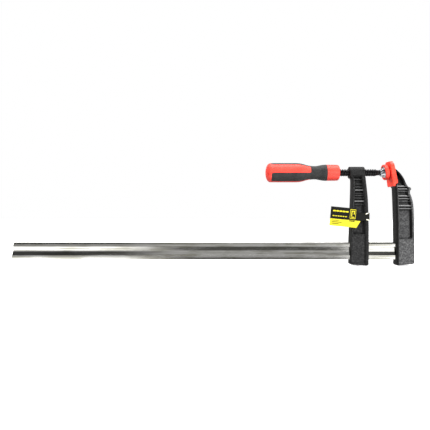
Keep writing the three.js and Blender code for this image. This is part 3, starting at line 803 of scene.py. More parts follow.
@dataclass
class CastJaw(ABC):
    """A cast jaw as a body whose half depth is a function of x and z, the same in front and behind.

    Attributes:
        layout: Shared places.
        name: Name of the piece and of the CAD node that it stands for.
        body: CAD body that it rides on.
        finish: Its paint.
        box_half: Half depth of the box and the outer flange.
        flange_half: Half depth of the inner flange.
        web_half: Half depth of the web between the flanges.
        wall: Width over which a pocket's wall slopes.
        sole_slope: Slope of the sole, in degrees.
        sole_round: Rounding of the sole's front and back edges.
        corner: Rounding of the sole's corners.
        outer_flange: Width of the flange away from the work.
        drop: How far the sole hangs below the CAD's.
        outwards: Direction along X that leads away from the work.
        slot_play: Play round the rail in the jaw's slot.
        slot_round: Rounding of the slot's corners.
    """

    layout: Layout
    name: str
    body: str
    finish: HammeredPaint
    box_half: float = 10.0
    flange_half: float = 12.0
    web_half: float = 4.0
    wall: float = 0.8
    sole_slope: float = 5.0
    sole_round: float = 3.6
    corner: float = 3.4
    outer_flange: float = 3.0
    drop: float = 1.4
    outwards: float = 1.0
    slot_play: float = 0.3
    slot_round: float = 0.9

    @abstractmethod
    def edges(self, z: Array) -> tuple[Array, Array]:
        """X of the left and right edge at each height."""

    @abstractmethod
    def half_depth(self, x: Array, z: Array, left: Array, right: Array) -> Array:
        """Half depth at each point."""

    @abstractmethod
    def stations(self, left: Array, right: Array) -> Array:
        """X of the grid's columns between the two edges."""

    @abstractmethod
    def heights(self) -> Array:
        """Heights of the grid's rows."""

    @abstractmethod
    def inner_x(self) -> float:
        """X of the box's side that faces the work."""

    def moat(self, distance: Array) -> Array:
        """Depth of the channel that runs along a pocket's wall, at a distance from the wall."""
        return 1.9 * smoothstep(0.4, 1.0, distance) * (1 - smoothstep(2.2, 3.2, distance))

    def ribs(self, z: Array, deep: Array, ribs: Sequence[Rib]) -> Array:
        """Half depth of the web with its ribs: each rib's front is cut back at 45 degrees on its upper side.

        Args:
            z: Heights.
            deep: 1 inside the pocket, 0 outside.
            ribs: The ribs.

        Returns:
            The half depth inside the pocket.
        """
        depth = np.full(z.shape, self.web_half)
        for rib in ribs:
            up = z - rib.height + rib.thickness / 2
            rise = smoothstep(-0.35, 0.1, up) * (1.0 - smoothstep(rib.thickness, rib.thickness + 0.4, up))
            front = rib.half_depth - np.clip(up - 0.3, 0.0, rib.thickness)
            under = smoothstep(-3.4, -2.8, up) * (1.0 - smoothstep(-0.35, 0.1, up))
            depth = np.minimum(depth, np.where(under > 0, self.web_half - rib.notch * under * deep, 99.0))
            depth = np.maximum(depth, self.web_half + (front - self.web_half) * rise * deep * (rise > 0))
        return depth

    @abstractmethod
    def rib_list(self) -> list[Rib]:
        """Ribs of the jaw's pocket."""

    @abstractmethod
    def painted_shade(self, x: Array, y: Array, z: Array) -> Array:
        """Where shade is painted: 1 there and 0 elsewhere."""

    def store_painted_light(self, piece: bpy.types.Object) -> None:
        """Store where highlights are painted, which is on the fronts of the ribs, and where shade is painted.

        Args:
            piece: The finished mesh.
        """
        x, y, z = points_of(piece).T
        left, right = self.edges(z)
        inside = (x > left + self.outer_flange) & (x < right - self.outer_flange) & (abs(y) < 9.72)
        # Painted highlight on the ribs' fronts, stronger on the ribs that stand further out.
        wear_and_highlight = np.zeros(len(x), np.float32)
        for rib in self.rib_list():
            off = np.abs(z - rib.height)
            front = inside & (off < rib.thickness / 2 + 0.25) & (abs(y) > rib.half_depth - 2.3)
            wear_and_highlight = np.maximum(wear_and_highlight, front * ((rib.half_depth - self.web_half) / 5.7) ** 2)
        store(piece, RIB_HIGHLIGHT, wear_and_highlight)
        # Painted shade, left off where a highlight is painted.
        store(piece, PAINTED_SHADE, self.painted_shade(x, y, z) * (wear_and_highlight < 0.05))

    def grid(self) -> Array:
        """Grid of the jaw's skin: for each height, the front from left to right, then the back.

        The sole rises away from the work by the tangent of its slope.

        Returns:
            The grid's points, one row for each height.
        """
        z_rows = self.heights()
        left, right = self.edges(z_rows)
        cut = round_off(z_rows, self.corner)
        x = self.stations(left + cut, right - cut)
        z = np.repeat(z_rows[:, None], x.shape[1], axis=1)
        half = self.half_depth(x, z, left[:, None], right[:, None])
        half = np.maximum(half - round_off(z, self.sole_round), 1.0)
        rise = self.outwards * (x - self.inner_x()) * math.tan(math.radians(self.sole_slope))
        lift = (rise - self.drop) * np.clip(1.0 - z / self.layout.rail_low[2], 0.0, 1.0)
        front = np.stack([x, -half, z + lift], axis=-1)
        back = np.stack([x, half, z + lift], axis=-1)[:, ::-1]
        return np.concatenate([front, back], axis=1)

    def rail_slot(self) -> bpy.types.Object:
        """Solid that cuts the rail's slot through the jaw.

        Returns:
            The cutting solid.
        """
        low, high = self.layout.rail_low, self.layout.rail_high
        half, bottom, top = high[1] + self.slot_play, low[2] - self.slot_play, high[2] + self.slot_play
        span = rounded([(-half, bottom), (half, bottom), (half, top), (-half, top)], self.slot_round, 4)
        ends = corners_mm(self.name)
        rows = [np.column_stack([np.full(len(span), x), span]) for x in (ends[0][0] - 4, ends[1][0] + 4)]
        return surface("slot_cutter", np.stack(rows))

    def dress(self, piece: bpy.types.Object, slot: str) -> bpy.types.Object:
        """Store where light and shade are painted on the jaw, set its shading, paint it and tie it to the
        frame.

        Args:
            piece: The finished mesh.
            slot: Material slot of the record.

        Returns:
            The same piece.
        """
        self.store_painted_light(piece)
        return finished(piece, 38.0, self.finish.material(), self.body, slot, self.name)


def rod_y(name: str, middle: Array, radius: float, start: float, end: float, dome: float) -> bpy.types.Object:
    """Rod along Y whose far end is domed: the radius shrinks as a quarter ellipse over the dome's height.

    Args:
        name: The object's name.
        middle: Point whose X and Z the rod's axis goes through.
        radius: The rod's radius.
        start: Y of the flat end.
        end: Y of the domed end.
        dome: Height of the dome, 0 for a flat end.

    Returns:
        The new object.
    """
    share = np.linspace(0, np.pi / 2, 8)
    rows = [(start, 0.0), (start, radius - 0.2), (start + 0.2, radius)]
    rows += [(end - dome + dome * math.sin(a), radius * math.cos(a) ** 0.6) for a in share]
    profile = np.array([(y, max(r, 0.0)) for y, r in rows] + [(end, 0.0)])
    angle = np.linspace(0, 2 * np.pi, 48, endpoint=False)
    radius_grid = profile[:, 1:2]
    points = np.stack([middle[0] + radius_grid * np.cos(angle), np.repeat(profile[:, :1], 48, axis=1),
                       middle[2] + radius_grid * np.sin(angle)], axis=-1)
    return surface(name, points, close_ends=False)


def pin_cutter(node: str, start: float, end: float) -> bpy.types.Object:
    """Rod that cuts the hole of a pin, with play round it, from one Y to another."""
    low, high = corners_mm(node)
    return rod_y("pin_cutter", (low + high) / 2, (high[0] - low[0]) / 2 + PIN_PLAY, start, end, 0.0)


@dataclass
class SlidingJaw(CastJaw):
    """The sliding jaw: a box round the rail, a tapering arm with a ribbed pocket, and the spindle's sleeve.

    Attributes:
        sole_slope: Slope of the sole, in degrees.
        outwards: Direction along X that leads away from the work.
        slot_play: Play round the rail in the jaw's slot.
        inner_flange: Width of the flange that faces the work.
        pocket_floor: Height of the pocket's lower wall above the rail.
        sleeve_radius: Outer radius of the spindle's sleeve.
        sleeve_length: Length of the sleeve.
        bore_radius: Radius of the sleeve's bore.
        bore_bevel: Size of the bevel at each end of the bore.
    """

    sole_slope: float = 3.0
    outwards: float = -1.0
    slot_play: float = 0.4
    inner_flange: float = 7.0
    pocket_floor: float = 13.5
    sleeve_radius: float = 10.3
    sleeve_length: float = 25.8
    bore_radius: float = 6.35
    bore_bevel: float = 1.0

    def edges(self, z: Array) -> tuple[Array, Array]:
        """The outer edge leans in a little and flares out to the sleeve; the inner one tapers above.

        Args:
            z: Heights.

        Returns:
            X of the left and right edge.
        """
        low, high = corners_mm(self.name)
        top = self.layout.axis_z
        outer, inner = low[0] + 2.9, high[0] + 0.5
        left = curve([(0, outer - 1.9), (top - 112, outer - 1.5), (top - 96, outer - 0.6),
                      (top - 70, outer + 0.4), (top - 14, outer + 1.9), (top - 9.5, outer + 0.9),
                      (top - 5, outer - 1.9), (top, outer - 2.2)], z)
        right = curve([(0, inner + 1.6), (top - 112, inner + 2.0), (top - 96, inner + 1.8),
                       (top - 70, inner + 1.1), (top - 47, inner + 0.2), (top - 13, inner - 3.2),
                       (top, inner - 4.6)], z)
        return left, right

    def stations(self, left: Array, right: Array) -> Array:
        """Columns gathered at the edges, at the pocket's walls and round the flange.

        Args:
            left: X of the left edge.
            right: X of the right edge.

        Returns:
            X of the columns, one row for each height.
        """
        flange = right - self.inner_flange
        wall = np.array([0.0, 0.25, 0.5, 0.75, 1.0]) * self.wall
        edge = left[:, None] + np.array([0.0, 0.12, 0.35, 0.8, 1.5])
        outer_wall = left[:, None] + self.outer_flange + wall
        inner_wall = flange[:, None] - self.wall + wall[:-1]
        share = np.linspace(0, 1, 10)[1:-1]
        start, end = outer_wall[:, -1:], inner_wall[:, :1]
        web = start + (end - start) * share
        round_share = (1 - np.cos(np.linspace(0, np.pi, 15))) / 2
        rim = flange[:, None] + self.inner_flange * round_share
        return np.concatenate([edge, outer_wall, web, inner_wall, rim], axis=1)

    def heights(self) -> Array:
        """Rows close together at the sole, in the pocket and under the sleeve.

        Returns:
            The heights.
        """
        floor = self.layout.rail_high[2] + self.pocket_floor
        return np.concatenate([
            self.corner * (1 - np.cos(np.linspace(0, np.pi / 2, 12)))[:-1],
            np.arange(self.corner, floor - 2, 1.4),
            np.arange(floor - 2, self.layout.axis_z - 0.2, 0.32),
            [self.layout.axis_z],
        ])

    def inner_x(self) -> float:
        """X of the box's side that faces the work."""
        return corners_mm(self.name)[1][0]

    def half_depth(self, x: Array, z: Array, left: Array, right: Array) -> Array:
        """Box depth, a full round on the inner flange, the pocket with its ribs, and eased edges.

        Args:
            x: X of the points.
            z: Their heights.
            left: X of the left edge.
            right: X of the right edge.

        Returns:
            The half depth.
        """
        top = self.layout.axis_z
        flange = right - self.inner_flange
        middle = right - self.inner_flange / 2
        arch = np.clip(1.0 - np.abs((x - middle) / (self.inner_flange / 2)) ** 2.3, 0.0, 1.0) ** 0.55
        crown = self.flange_half - 2.2 * smoothstep(top - 14, top - 4, z)
        rim = 8.7 + (crown - 8.7) * arch
        half = np.where(x >= flange, rim, self.box_half)
        inside = smoothstep(0, self.wall, x - left - self.outer_flange)
        inside = inside * smoothstep(0, self.wall, flange - x)
        above = z - self.layout.rail_high[2] - self.pocket_floor
        deep = inside * smoothstep(0, 0.9, above)
        web = self.ribs(z, deep, self.rib_list()) - self.moat(above)
        half = half + (web - half) * deep
        half = half - 0.9 * seam(x - flange + 0.5, 0.55) * (1 - deep) * smoothstep(1, 5, z)
        half = half - round_off(x - left, 1.4) - 0.9 * smoothstep(top - 8, top, z)
        return half

    def rib_list(self) -> list[Rib]:
        """Ribs of the pocket, two bold ones and several low ones.

        Returns:
            The ribs.
        """
        top = self.layout.axis_z
        bold = [Rib(top - 30.2, 9.7, 2.4, 2.0), Rib(top - 49.2, 9.7, 2.4, 2.0)]
        low = [Rib(top - drop, 6.8, 1.6) for drop in (12, 20, 25, 36, 39.5, 44, 54.5)]
        return bold + low

    def painted_shade(self, x: Array, y: Array, z: Array) -> Array:
        """Painted shade in the pocket's upper part, on the side faces and the inner flange, and on the
        sleeve.

        Args:
            x: X of the points.
            y: Their Y.
            z: Their heights.

        Returns:
            1 where shade is painted and 0 elsewhere.
        """
        left, right = self.edges(z)
        pocket = (x > left + self.outer_flange) & (x < right - self.inner_flange) & (abs(y) < 9.0)
        upper = smoothstep(self.layout.axis_z - 64, self.layout.axis_z - 52, z)
        side = (x < left + 0.8) | (x > right - 0.8)
        rim = smoothstep(0.5, 1.5, x - right + self.inner_flange)
        sleeve = smoothstep(self.layout.axis_z - 14, self.layout.axis_z - 9, z)
        # Painted shade: strongest in the upper pocket, less on the side faces, the inner flange and the
        # sleeve.
        amount = np.maximum(np.maximum(0.9 * pocket * upper, 0.8 * side), 0.55 * rim)
        return np.maximum(amount, 0.55 * sleeve)

    def sleeve(self) -> bpy.types.Object:
        """The spindle's sleeve, a short tube with rounded rims.

        Returns:
            The solid.
        """
        start = corners_mm(self.name)[0][0]
        end = start + self.sleeve_length
        profile = rounded([(start, 0), (start, self.sleeve_radius), (end, self.sleeve_radius), (end, 0)],
                          1.3, 5, closed=False)
        return turned("sleeve", densified(profile, 2.0), self.layout.axis_z, 72)

    def build(self) -> bpy.types.Object:
        """Join the arm and the sleeve, then cut the bore and the rail's slot.

        Returns:
            The finished piece.
        """
        piece = surface(self.name + "_casting", self.grid())
        combine(piece, self.sleeve(), Cut.JOIN)
        start = corners_mm(self.name)[0][0]
        end = start + self.sleeve_length
        r, bevel = self.bore_radius, self.bore_bevel
        bore = np.array([(start - 2, 0), (start - 2, r + 1.9), (start, r + bevel), (start + bevel, r),
                         (end - bevel, r), (end, r + bevel), (end + 2, r + 1.9), (end + 2, 0)])
        combine(piece, turned("bore_cutter", bore, self.layout.axis_z, 72), Cut.REMOVE)
        combine(piece, self.rail_slot(), Cut.REMOVE)
        return self.dress(piece, "hammered_paint")


@dataclass
class FixedJaw(CastJaw):
    """The fixed jaw: a box round the rail's end and an arm that leans over to the pad's head.

    Attributes:
        inner_flange: Width of the flange that faces the work.
        pocket_floor: Height of the pocket's lower wall above the rail.
        pocket_corner: Rounding of the pocket's lower corner.
        cap_wall: Wall of the cap that sits on the head, with its play.
        box_width: Width of the CAD's box.
        proud: How far the outer side stands past the CAD's.
    """

    inner_flange: float = 3.7
    pocket_floor: float = 5.0
    pocket_corner: float = 5.0
    cap_wall: float = 3.0
    box_width: float = 26.3
    proud: float = 2.5

    def head_top(self) -> float:
        """Height of the head's top edge."""
        return float(self.layout.on_pad(self.cap_wall, 15.9)[1])

    def edges(self, z: Array) -> tuple[Array, Array]:
        """The inner edge steps over to the head; the outer one curves in, with a nub, to the head's top.

        Args:
            z: Heights.

        Returns:
            X of the left and right edge.
        """
        inner = self.inner_x()
        outer = inner + self.box_width + self.proud
        top = self.layout.axis_z
        knee_x, knee_z = self.layout.on_pad(self.cap_wall, -23.6)
        tip_x, tip_z = self.layout.on_pad(self.cap_wall, 15.9)
        left = np.interp(z, [0, top - 83, top - 48, top - 27.1, knee_z, tip_z],
                         [inner - 1.6, inner - 1.9, inner - 3.1, inner - 4.0, knee_x, tip_x])
        back = [(outer, 0), (outer, 40), (outer - 1.3, top - 65.5), (outer - 2.2, top - 54.6),
                (outer - 4.9, top - 42.9), (outer - 7.7, top - 34.2), (outer - 7.6, top - 31.6),
                (outer - 5.6, top - 28.8), (outer - 6.5, top - 26.3), (outer - 10.3, top - 24.6),
                (outer - 13.9, top - 19.7), (outer - 17.8, top - 11), (outer - 24.3, top - 1.5),
                (outer - 34.5, top + 9.4), (tip_x + 2.2, tip_z)]
        right = curve([(height, x) for x, height in back], z)
        return left, np.maximum(right, left + 2.0)

    def flange_edge(self, z: Array, left: Array) -> Array:
        """X where the inner flange ends: a fixed width below, and the cap's lip above.

        Args:
            z: Heights.
            left: X of the left edge.

        Returns:
            X of the flange's end.
        """
        top = self.layout.axis_z
        lip_x, lip_z = self.layout.on_pad(np.array([9.0, 6.9]), np.array([-19.4, 18.9]))
        above = np.interp(z, lip_z, lip_x)
        share = smoothstep(top - 29, top - 19, z)
        return (left + self.inner_flange) * (1 - share) + above * share

    def stations(self, left: Array, right: Array) -> Array:
        """Columns gathered at the edges and at the pocket's walls.

        Args:
            left: X of the left edge.
            right: X of the right edge.

        Returns:
            X of the columns, one row for each height.
        """
        z = self.heights()
        flange = np.minimum(self.flange_edge(z, left), right - 0.8)
        end = np.maximum(right - self.outer_flange, flange + 0.4)
        wall = np.array([0.0, 0.25, 0.5, 0.75, 1.0])
        width = np.minimum(self.wall, (end - flange) / 2.2)[:, None]
        edge = left[:, None] + np.array([0.0, 0.12, 0.35, 0.8, 1.3]) * np.minimum(
            1.0, (flange - left) / 2.0)[:, None]
        face = edge[:, -1:] + (flange[:, None] - edge[:, -1:]) * np.array([0.3, 0.65, 0.9])
        inner_wall = flange[:, None] + wall * width
        outer_wall = end[:, None] - width + wall * width
        share = np.linspace(0, 1, 12)[1:-1]
        web = inner_wall[:, -1:] + (outer_wall[:, :1] - inner_wall[:, -1:]) * share
        reach = (right - end)[:, None]
        back = end[:, None] + reach * np.array([0.3, 0.55, 0.75, 0.88, 0.96, 1.0])
        return np.concatenate([edge, face, inner_wall, web, outer_wall, back], axis=1)

    def heights(self) -> Array:
        """Rows close together at the sole, in the pocket and on the head.

        Returns:
            The heights.
        """
        floor = self.layout.rail_high[2] + self.pocket_floor
        top = self.head_top()
        return np.concatenate([
            self.corner * (1 - np.cos(np.linspace(0, np.pi / 2, 12)))[:-1],
            np.arange(self.corner, floor - 2, 1.4),
            np.arange(floor - 2, top - 1.2, 0.32),
            top - 1.2 * (1 - np.sin(np.linspace(0, np.pi / 2, 6))),
        ])

    def inner_x(self) -> float:
        """X of the box's side that faces the work."""
        return corners_mm(self.name)[1][0] - self.box_width

    def half_depth(self, x: Array, z: Array, left: Array, right: Array) -> Array:
        """Flange depth at the work's side, box depth elsewhere, and the pocket with its ribs.

        Args:
            x: X of the points.
            z: Their heights.
            left: X of the left edge.
            right: X of the right edge.

        Returns:
            The half depth.
        """
        top = self.layout.axis_z
        flange = self.flange_edge(z, left)
        step = smoothstep(-0.1, 0.5, x - flange)
        share = np.clip((x - left) / np.maximum(flange - left, 0.5), 0.0, 1.0)
        crown = self.flange_half - 2.6 * (1.0 - share) ** 1.3
        half = crown + (self.box_half - crown) * step
        from_wall = np.minimum(x - flange, right - self.outer_flange - x)
        across = right - self.outer_flange - x - self.pocket_corner
        above = z - self.layout.rail_high[2] - self.pocket_floor
        short = np.hypot(np.minimum(across, 0.0), np.minimum(above - self.pocket_corner, 0.0))
        corner = np.where((across < 0) & (above < self.pocket_corner), self.pocket_corner - short, 99.0)
        depth_in = np.minimum(np.minimum(from_wall, above), corner)
        deep = smoothstep(0, self.wall, depth_in)
        moat = np.maximum(self.moat(np.minimum(above, corner)), self.moat(right - self.outer_flange - x))
        web = self.ribs(z, deep, self.rib_list()) - moat
        half = half + (web - half) * deep
        half = half - round_off(x - left, 1.0) - round_off(right - x, 1.0)
        tip = self.head_top() - z
        return half - round_off(tip, 1.2) - 4.0 * smoothstep(top - 4, self.head_top() + 6, z) * step

    def rib_list(self) -> list[Rib]:
        """Ribs of the pocket: three pairs, the lower rib of each pair set back.

        Returns:
            The ribs.
        """
        top = self.layout.axis_z
        bold = [Rib(top - drop, 9.7, 2.2, 1.0) for drop in (23.6, 40.2, 57.0)]
        second = [Rib(top - drop, 8.8, 1.8, 1.0) for drop in (28.2, 44.9, 62.0)]
        low = [Rib(top - drop, 6.4, 1.6) for drop in (32.2, 49.2)]
        return bold + second + low

    def painted_shade(self, x: Array, y: Array, z: Array) -> Array:
        """Painted shade on the flange that faces the work, in the head's recess behind the cap, along the
        pocket's outer wall and over the pocket's web, more so higher up.

        Args:
            x: X of the points.
            y: Their Y.
            z: Their heights.

        Returns:
            1 where shade is painted and 0 elsewhere.
        """
        left, right = self.edges(z)
        flange = 1.0 - smoothstep(-1.2, -0.4, x - self.flange_edge(z, left))
        head = smoothstep(self.layout.axis_z - 22, self.layout.axis_z - 17, z)
        top = self.layout.axis_z
        wall = (abs(y) < 9.0) & (right - self.outer_flange - x < 2.6)
        ribbed = 0.3 + 0.5 * smoothstep(top - 68, top - 60, z)
        web = (abs(y) < 9.0) & (z > self.layout.rail_high[2] + self.pocket_floor)
        # Painted shade: full on the flange and the head, strong along the pocket's outer wall, and over the
        # web from 0.3 low down to 0.8 higher up.
        return np.maximum(np.maximum(flange, head), np.maximum(0.9 * wall, ribbed * web))

    def build(self) -> bpy.types.Object:
        """Cut the rail's slot and the pins' bores out of the casting.

        Returns:
            The finished piece.
        """
        piece = surface(self.name + "_casting", self.grid())
        combine(piece, self.rail_slot(), Cut.REMOVE)
        for node in PINS.values():
            blind_end = corners_mm(node)[0][1] - 0.3
            combine(piece, pin_cutter(node, blind_end, self.flange_half + 3), Cut.REMOVE)
        return self.dress(piece, "hammered_paint")


# ---- Rail, pins and cap ----------------------------------------------------------------------------------


@dataclass
class Rail:
    """The rail: a drawn section with a shallow rounded groove in each side, and serrated narrow edges.

    Attributes:
        layout: Shared places.
        groove_width: Width of the groove.
        groove_depth: Depth of the groove.
        lip_crown: How far the lips beside the groove fall away at their outer edges.
        edge: Rounding of the section's corners.
        pitch: Pitch of the serration.
        tooth: Depth of the serration.
        end_slant: Slant of the free end, in degrees.
        end_gap: How far the free end's lowest corner is set back.
    """

    layout: Layout
    groove_width: float = 15.0
    groove_depth: float = 2.3
    lip_crown: float = 0.3
    edge: float = 1.0
    pitch: float = 2.0
    tooth: float = 0.22
    end_slant: float = 7.0
    end_gap: float = 1.4

    def section(self) -> tuple[Array, Array]:
        """Y and Z of the section's outline.

        The groove's depth goes as 1 - t squared, and each lip beside it falls away as the square of
        the distance from the groove.

        Returns:
            Y and Z of the outline's points.
        """
        low, high = self.layout.rail_low, self.layout.rail_high
        half, tall = high[1], (high[2] - low[2]) / 2
        turn = np.linspace(0, np.pi / 2, 4)
        corner_y = half - self.lip_crown - self.edge + self.edge * np.sin(turn)
        corner_z = tall - self.edge + self.edge * np.cos(turn)
        out = np.array([0.66, 0.33])
        lip_y = half - self.lip_crown * out**2
        lip_z = self.groove_width / 2 + (tall - self.edge - self.groove_width / 2) * out
        t = np.linspace(1, -1, 15)
        groove_y = half - self.groove_depth * (1 - t**2)
        groove_z = t * self.groove_width / 2
        y = np.concatenate([corner_y, lip_y, groove_y, lip_y[::-1], corner_y[::-1]])
        z = np.concatenate([corner_z, lip_z, groove_z, -lip_z[::-1], -corner_z[::-1]])
        return np.concatenate([y, -y[::-1]]), np.concatenate([z, z[::-1]])

    def build(self) -> bpy.types.Object:
        """Carry the section along X, with teeth in its top and bottom faces and a slanted free end.

        Returns:
            The finished piece.
        """
        low, high = self.layout.rail_low, self.layout.rail_high
        y, z = self.section()
        teeth = int((high[0] - low[0]) / self.pitch)
        x = np.linspace(low[0], high[0], teeth * 4 + 1)
        phase = np.abs(((x - high[0]) / self.pitch) % 1.0 - 0.5) * 2
        clear = smoothstep(0, 6, x - low[0]) * smoothstep(0, 3, high[0] - x)
        fall = (self.tooth * smoothstep(0.35, 0.8, phase) * clear)[:, None]
        tall = (high[2] - low[2]) / 2
        on_edge = smoothstep(tall - 0.35, tall - 0.05, np.abs(z))[None, :]
        height = z[None, :] - np.sign(z)[None, :] * fall * on_edge
        slant = math.tan(math.radians(self.end_slant)) * (height + tall) + self.end_gap
        along = x[:, None] + slant * np.clip(1 - (x - low[0]) / 40.0, 0, 1)[:, None]
        middle = (low[2] + high[2]) / 2
        points = np.stack([along, np.repeat(y[None, :], len(x), axis=0), middle + height], axis=-1)
        piece = surface("rail_bar", points)
        for node in PINS.values():
            combine(piece, pin_cutter(node, -9, 9), Cut.REMOVE)
        plating = PlatedSteel("rail_plating").material()
        return finished(piece, 30.0, plating, "frame", "plated_rail", "rail")


@dataclass
class JawPins:
    """The two pins that hold the fixed jaw on the rail, with peened ends."""

    def build(self) -> list[bpy.types.Object]:
        """One domed rod for each pin.

        Returns:
            The finished pins.
        """
        finish = WorkedSteel("pin_steel", (0.42, 0.41, 0.39), (0.2, 0.19, 0.18), 0.42).material()
        pins = []
        for name, node in PINS.items():
            low, high = corners_mm(node)
            pin = rod_y(name, (low + high) / 2, (high[0] - low[0]) / 2, low[1], high[1] + 0.3, 0.7)
            pins.append(finished(pin, 32.0, finish, "frame", "pin_steel", node))
        return pins


@dataclass
class JawCap:
    """The moulded cap on the fixed jaw's head.

    Attributes:
        layout: Shared places.
        half_width: Half its width.
        top: Height of its top above the spindle's axis, along the face.
        bottom: Height of its bottom below it.
        wall: Wall thickness.
        lip_top: How far the sides reach back at the top.
        lip_bottom: How far they reach back at their lower end.
        lip_end: Where the deep part of the sides ends, below the axis.
        chin: How far the sides reach back below that.
        chamfer: Size of the face's cut upper corners, across and along.
        edge: Rounding of the face's edge.
    """

    layout: Layout
    half_width: float = 15.0
    top: float = 18.9
    bottom: float = 24.6
    wall: float = 2.7
    lip_top: float = 6.0
    lip_bottom: float = 8.3
    lip_end: float = 19.4
    chin: float = 3.4
    chamfer: tuple[float, float] = (6.5, 6.0)
    edge: float = 1.1

    def outline(self, inset: float) -> Array:
        """The face's outline, a rectangle with cut corners, drawn in by an inset.

        Args:
            inset: How far it is drawn in.

        Returns:
            Points across and along the face.
        """
        w, t, b = self.half_width - inset, self.top - inset, self.bottom - inset
        cy, cu = self.chamfer
        corners = [(-w, -b), (w, -b), (w, t - cu), (w - cy, t), (-w + cy, t), (-w, t - cu)]
        return rounded(corners, 2.2, 6)

    def shell(self, outline: Callable[[float], Array], rows: Sequence[tuple[float, float]]) -> Array:
        """Grid of outlines set one behind the other: rows are (distance behind the face, inset).

        Args:
            outline: Outline for an inset.
            rows: Distance behind the face and inset of each level.

        Returns:
            The grid of points.
        """
        levels = []
        for behind, inset in rows:
            flat = outline(inset)
            x, z = self.layout.on_pad(np.full(len(flat), behind), flat[:, 1])
            levels.append(np.column_stack([x, flat[:, 0], z]))
        return np.stack(levels)

    def side_cut(self) -> bpy.types.Object:
        """Solid that cuts the sides back to their slanting lip, with a rounded step above the chin.

        Returns:
            The cutting solid.
        """
        n = [(self.chin, -self.bottom - 2), (self.chin + 0.2, -self.lip_end - 1.6),
             (self.lip_bottom, -self.lip_end), (self.lip_bottom + 0.1, -self.lip_end + 2),
             (self.lip_top, self.top + 2), (30, self.top + 2), (30, -self.bottom - 2)]
        flat = rounded(n, [0.5, 1.6, 1.4, 0.5, 0, 0, 0], 6)
        x, z = self.layout.on_pad(flat[:, 0], flat[:, 1])
        rows = [np.column_stack([x, np.full(len(x), y), z]) for y in (-20.0, 20.0)]
        return surface("lip_cutter", np.stack(rows))

    def build(self) -> bpy.types.Object:
        """Stack the outlines with an eased front edge, cut the lip and hollow the inside.

        Returns:
            The finished piece.
        """
        e = self.edge
        turn = np.linspace(0, np.pi / 2, 6)
        front = [(e * (1 - math.sin(a)), e * (1 - math.cos(a))) for a in turn[::-1]]
        levels = front + [(b, 0.0) for b in np.linspace(e + 0.8, 12, 8)]
        piece = surface("fixed_jaw_cap_moulding", self.shell(self.outline, levels))
        combine(piece, self.side_cut(), Cut.REMOVE)
        width = self.half_width - self.wall
        corners = [(-width, -self.bottom - 6), (width, -self.bottom - 6), (width, self.top - self.wall),
                   (-width, self.top - self.wall)]
        hollow = rounded(corners, 0.8, 4)
        inside = self.shell(lambda inset: hollow, [(self.wall, 0), (14, 0)])
        combine(piece, surface("cap_hollow", inside), Cut.REMOVE)
        red = MouldedPlastic("cap_red", (0.9, 0.07, 0.042), (0.78, 0.05, 0.03), 0.4, 0.3, 0.05)
        return finished(piece, 40.0, red.material(), "frame", "red_plastic", "fixed_jaw_cap")


# ---- Spindle and swivel ----------------------------------------------------------------------------------


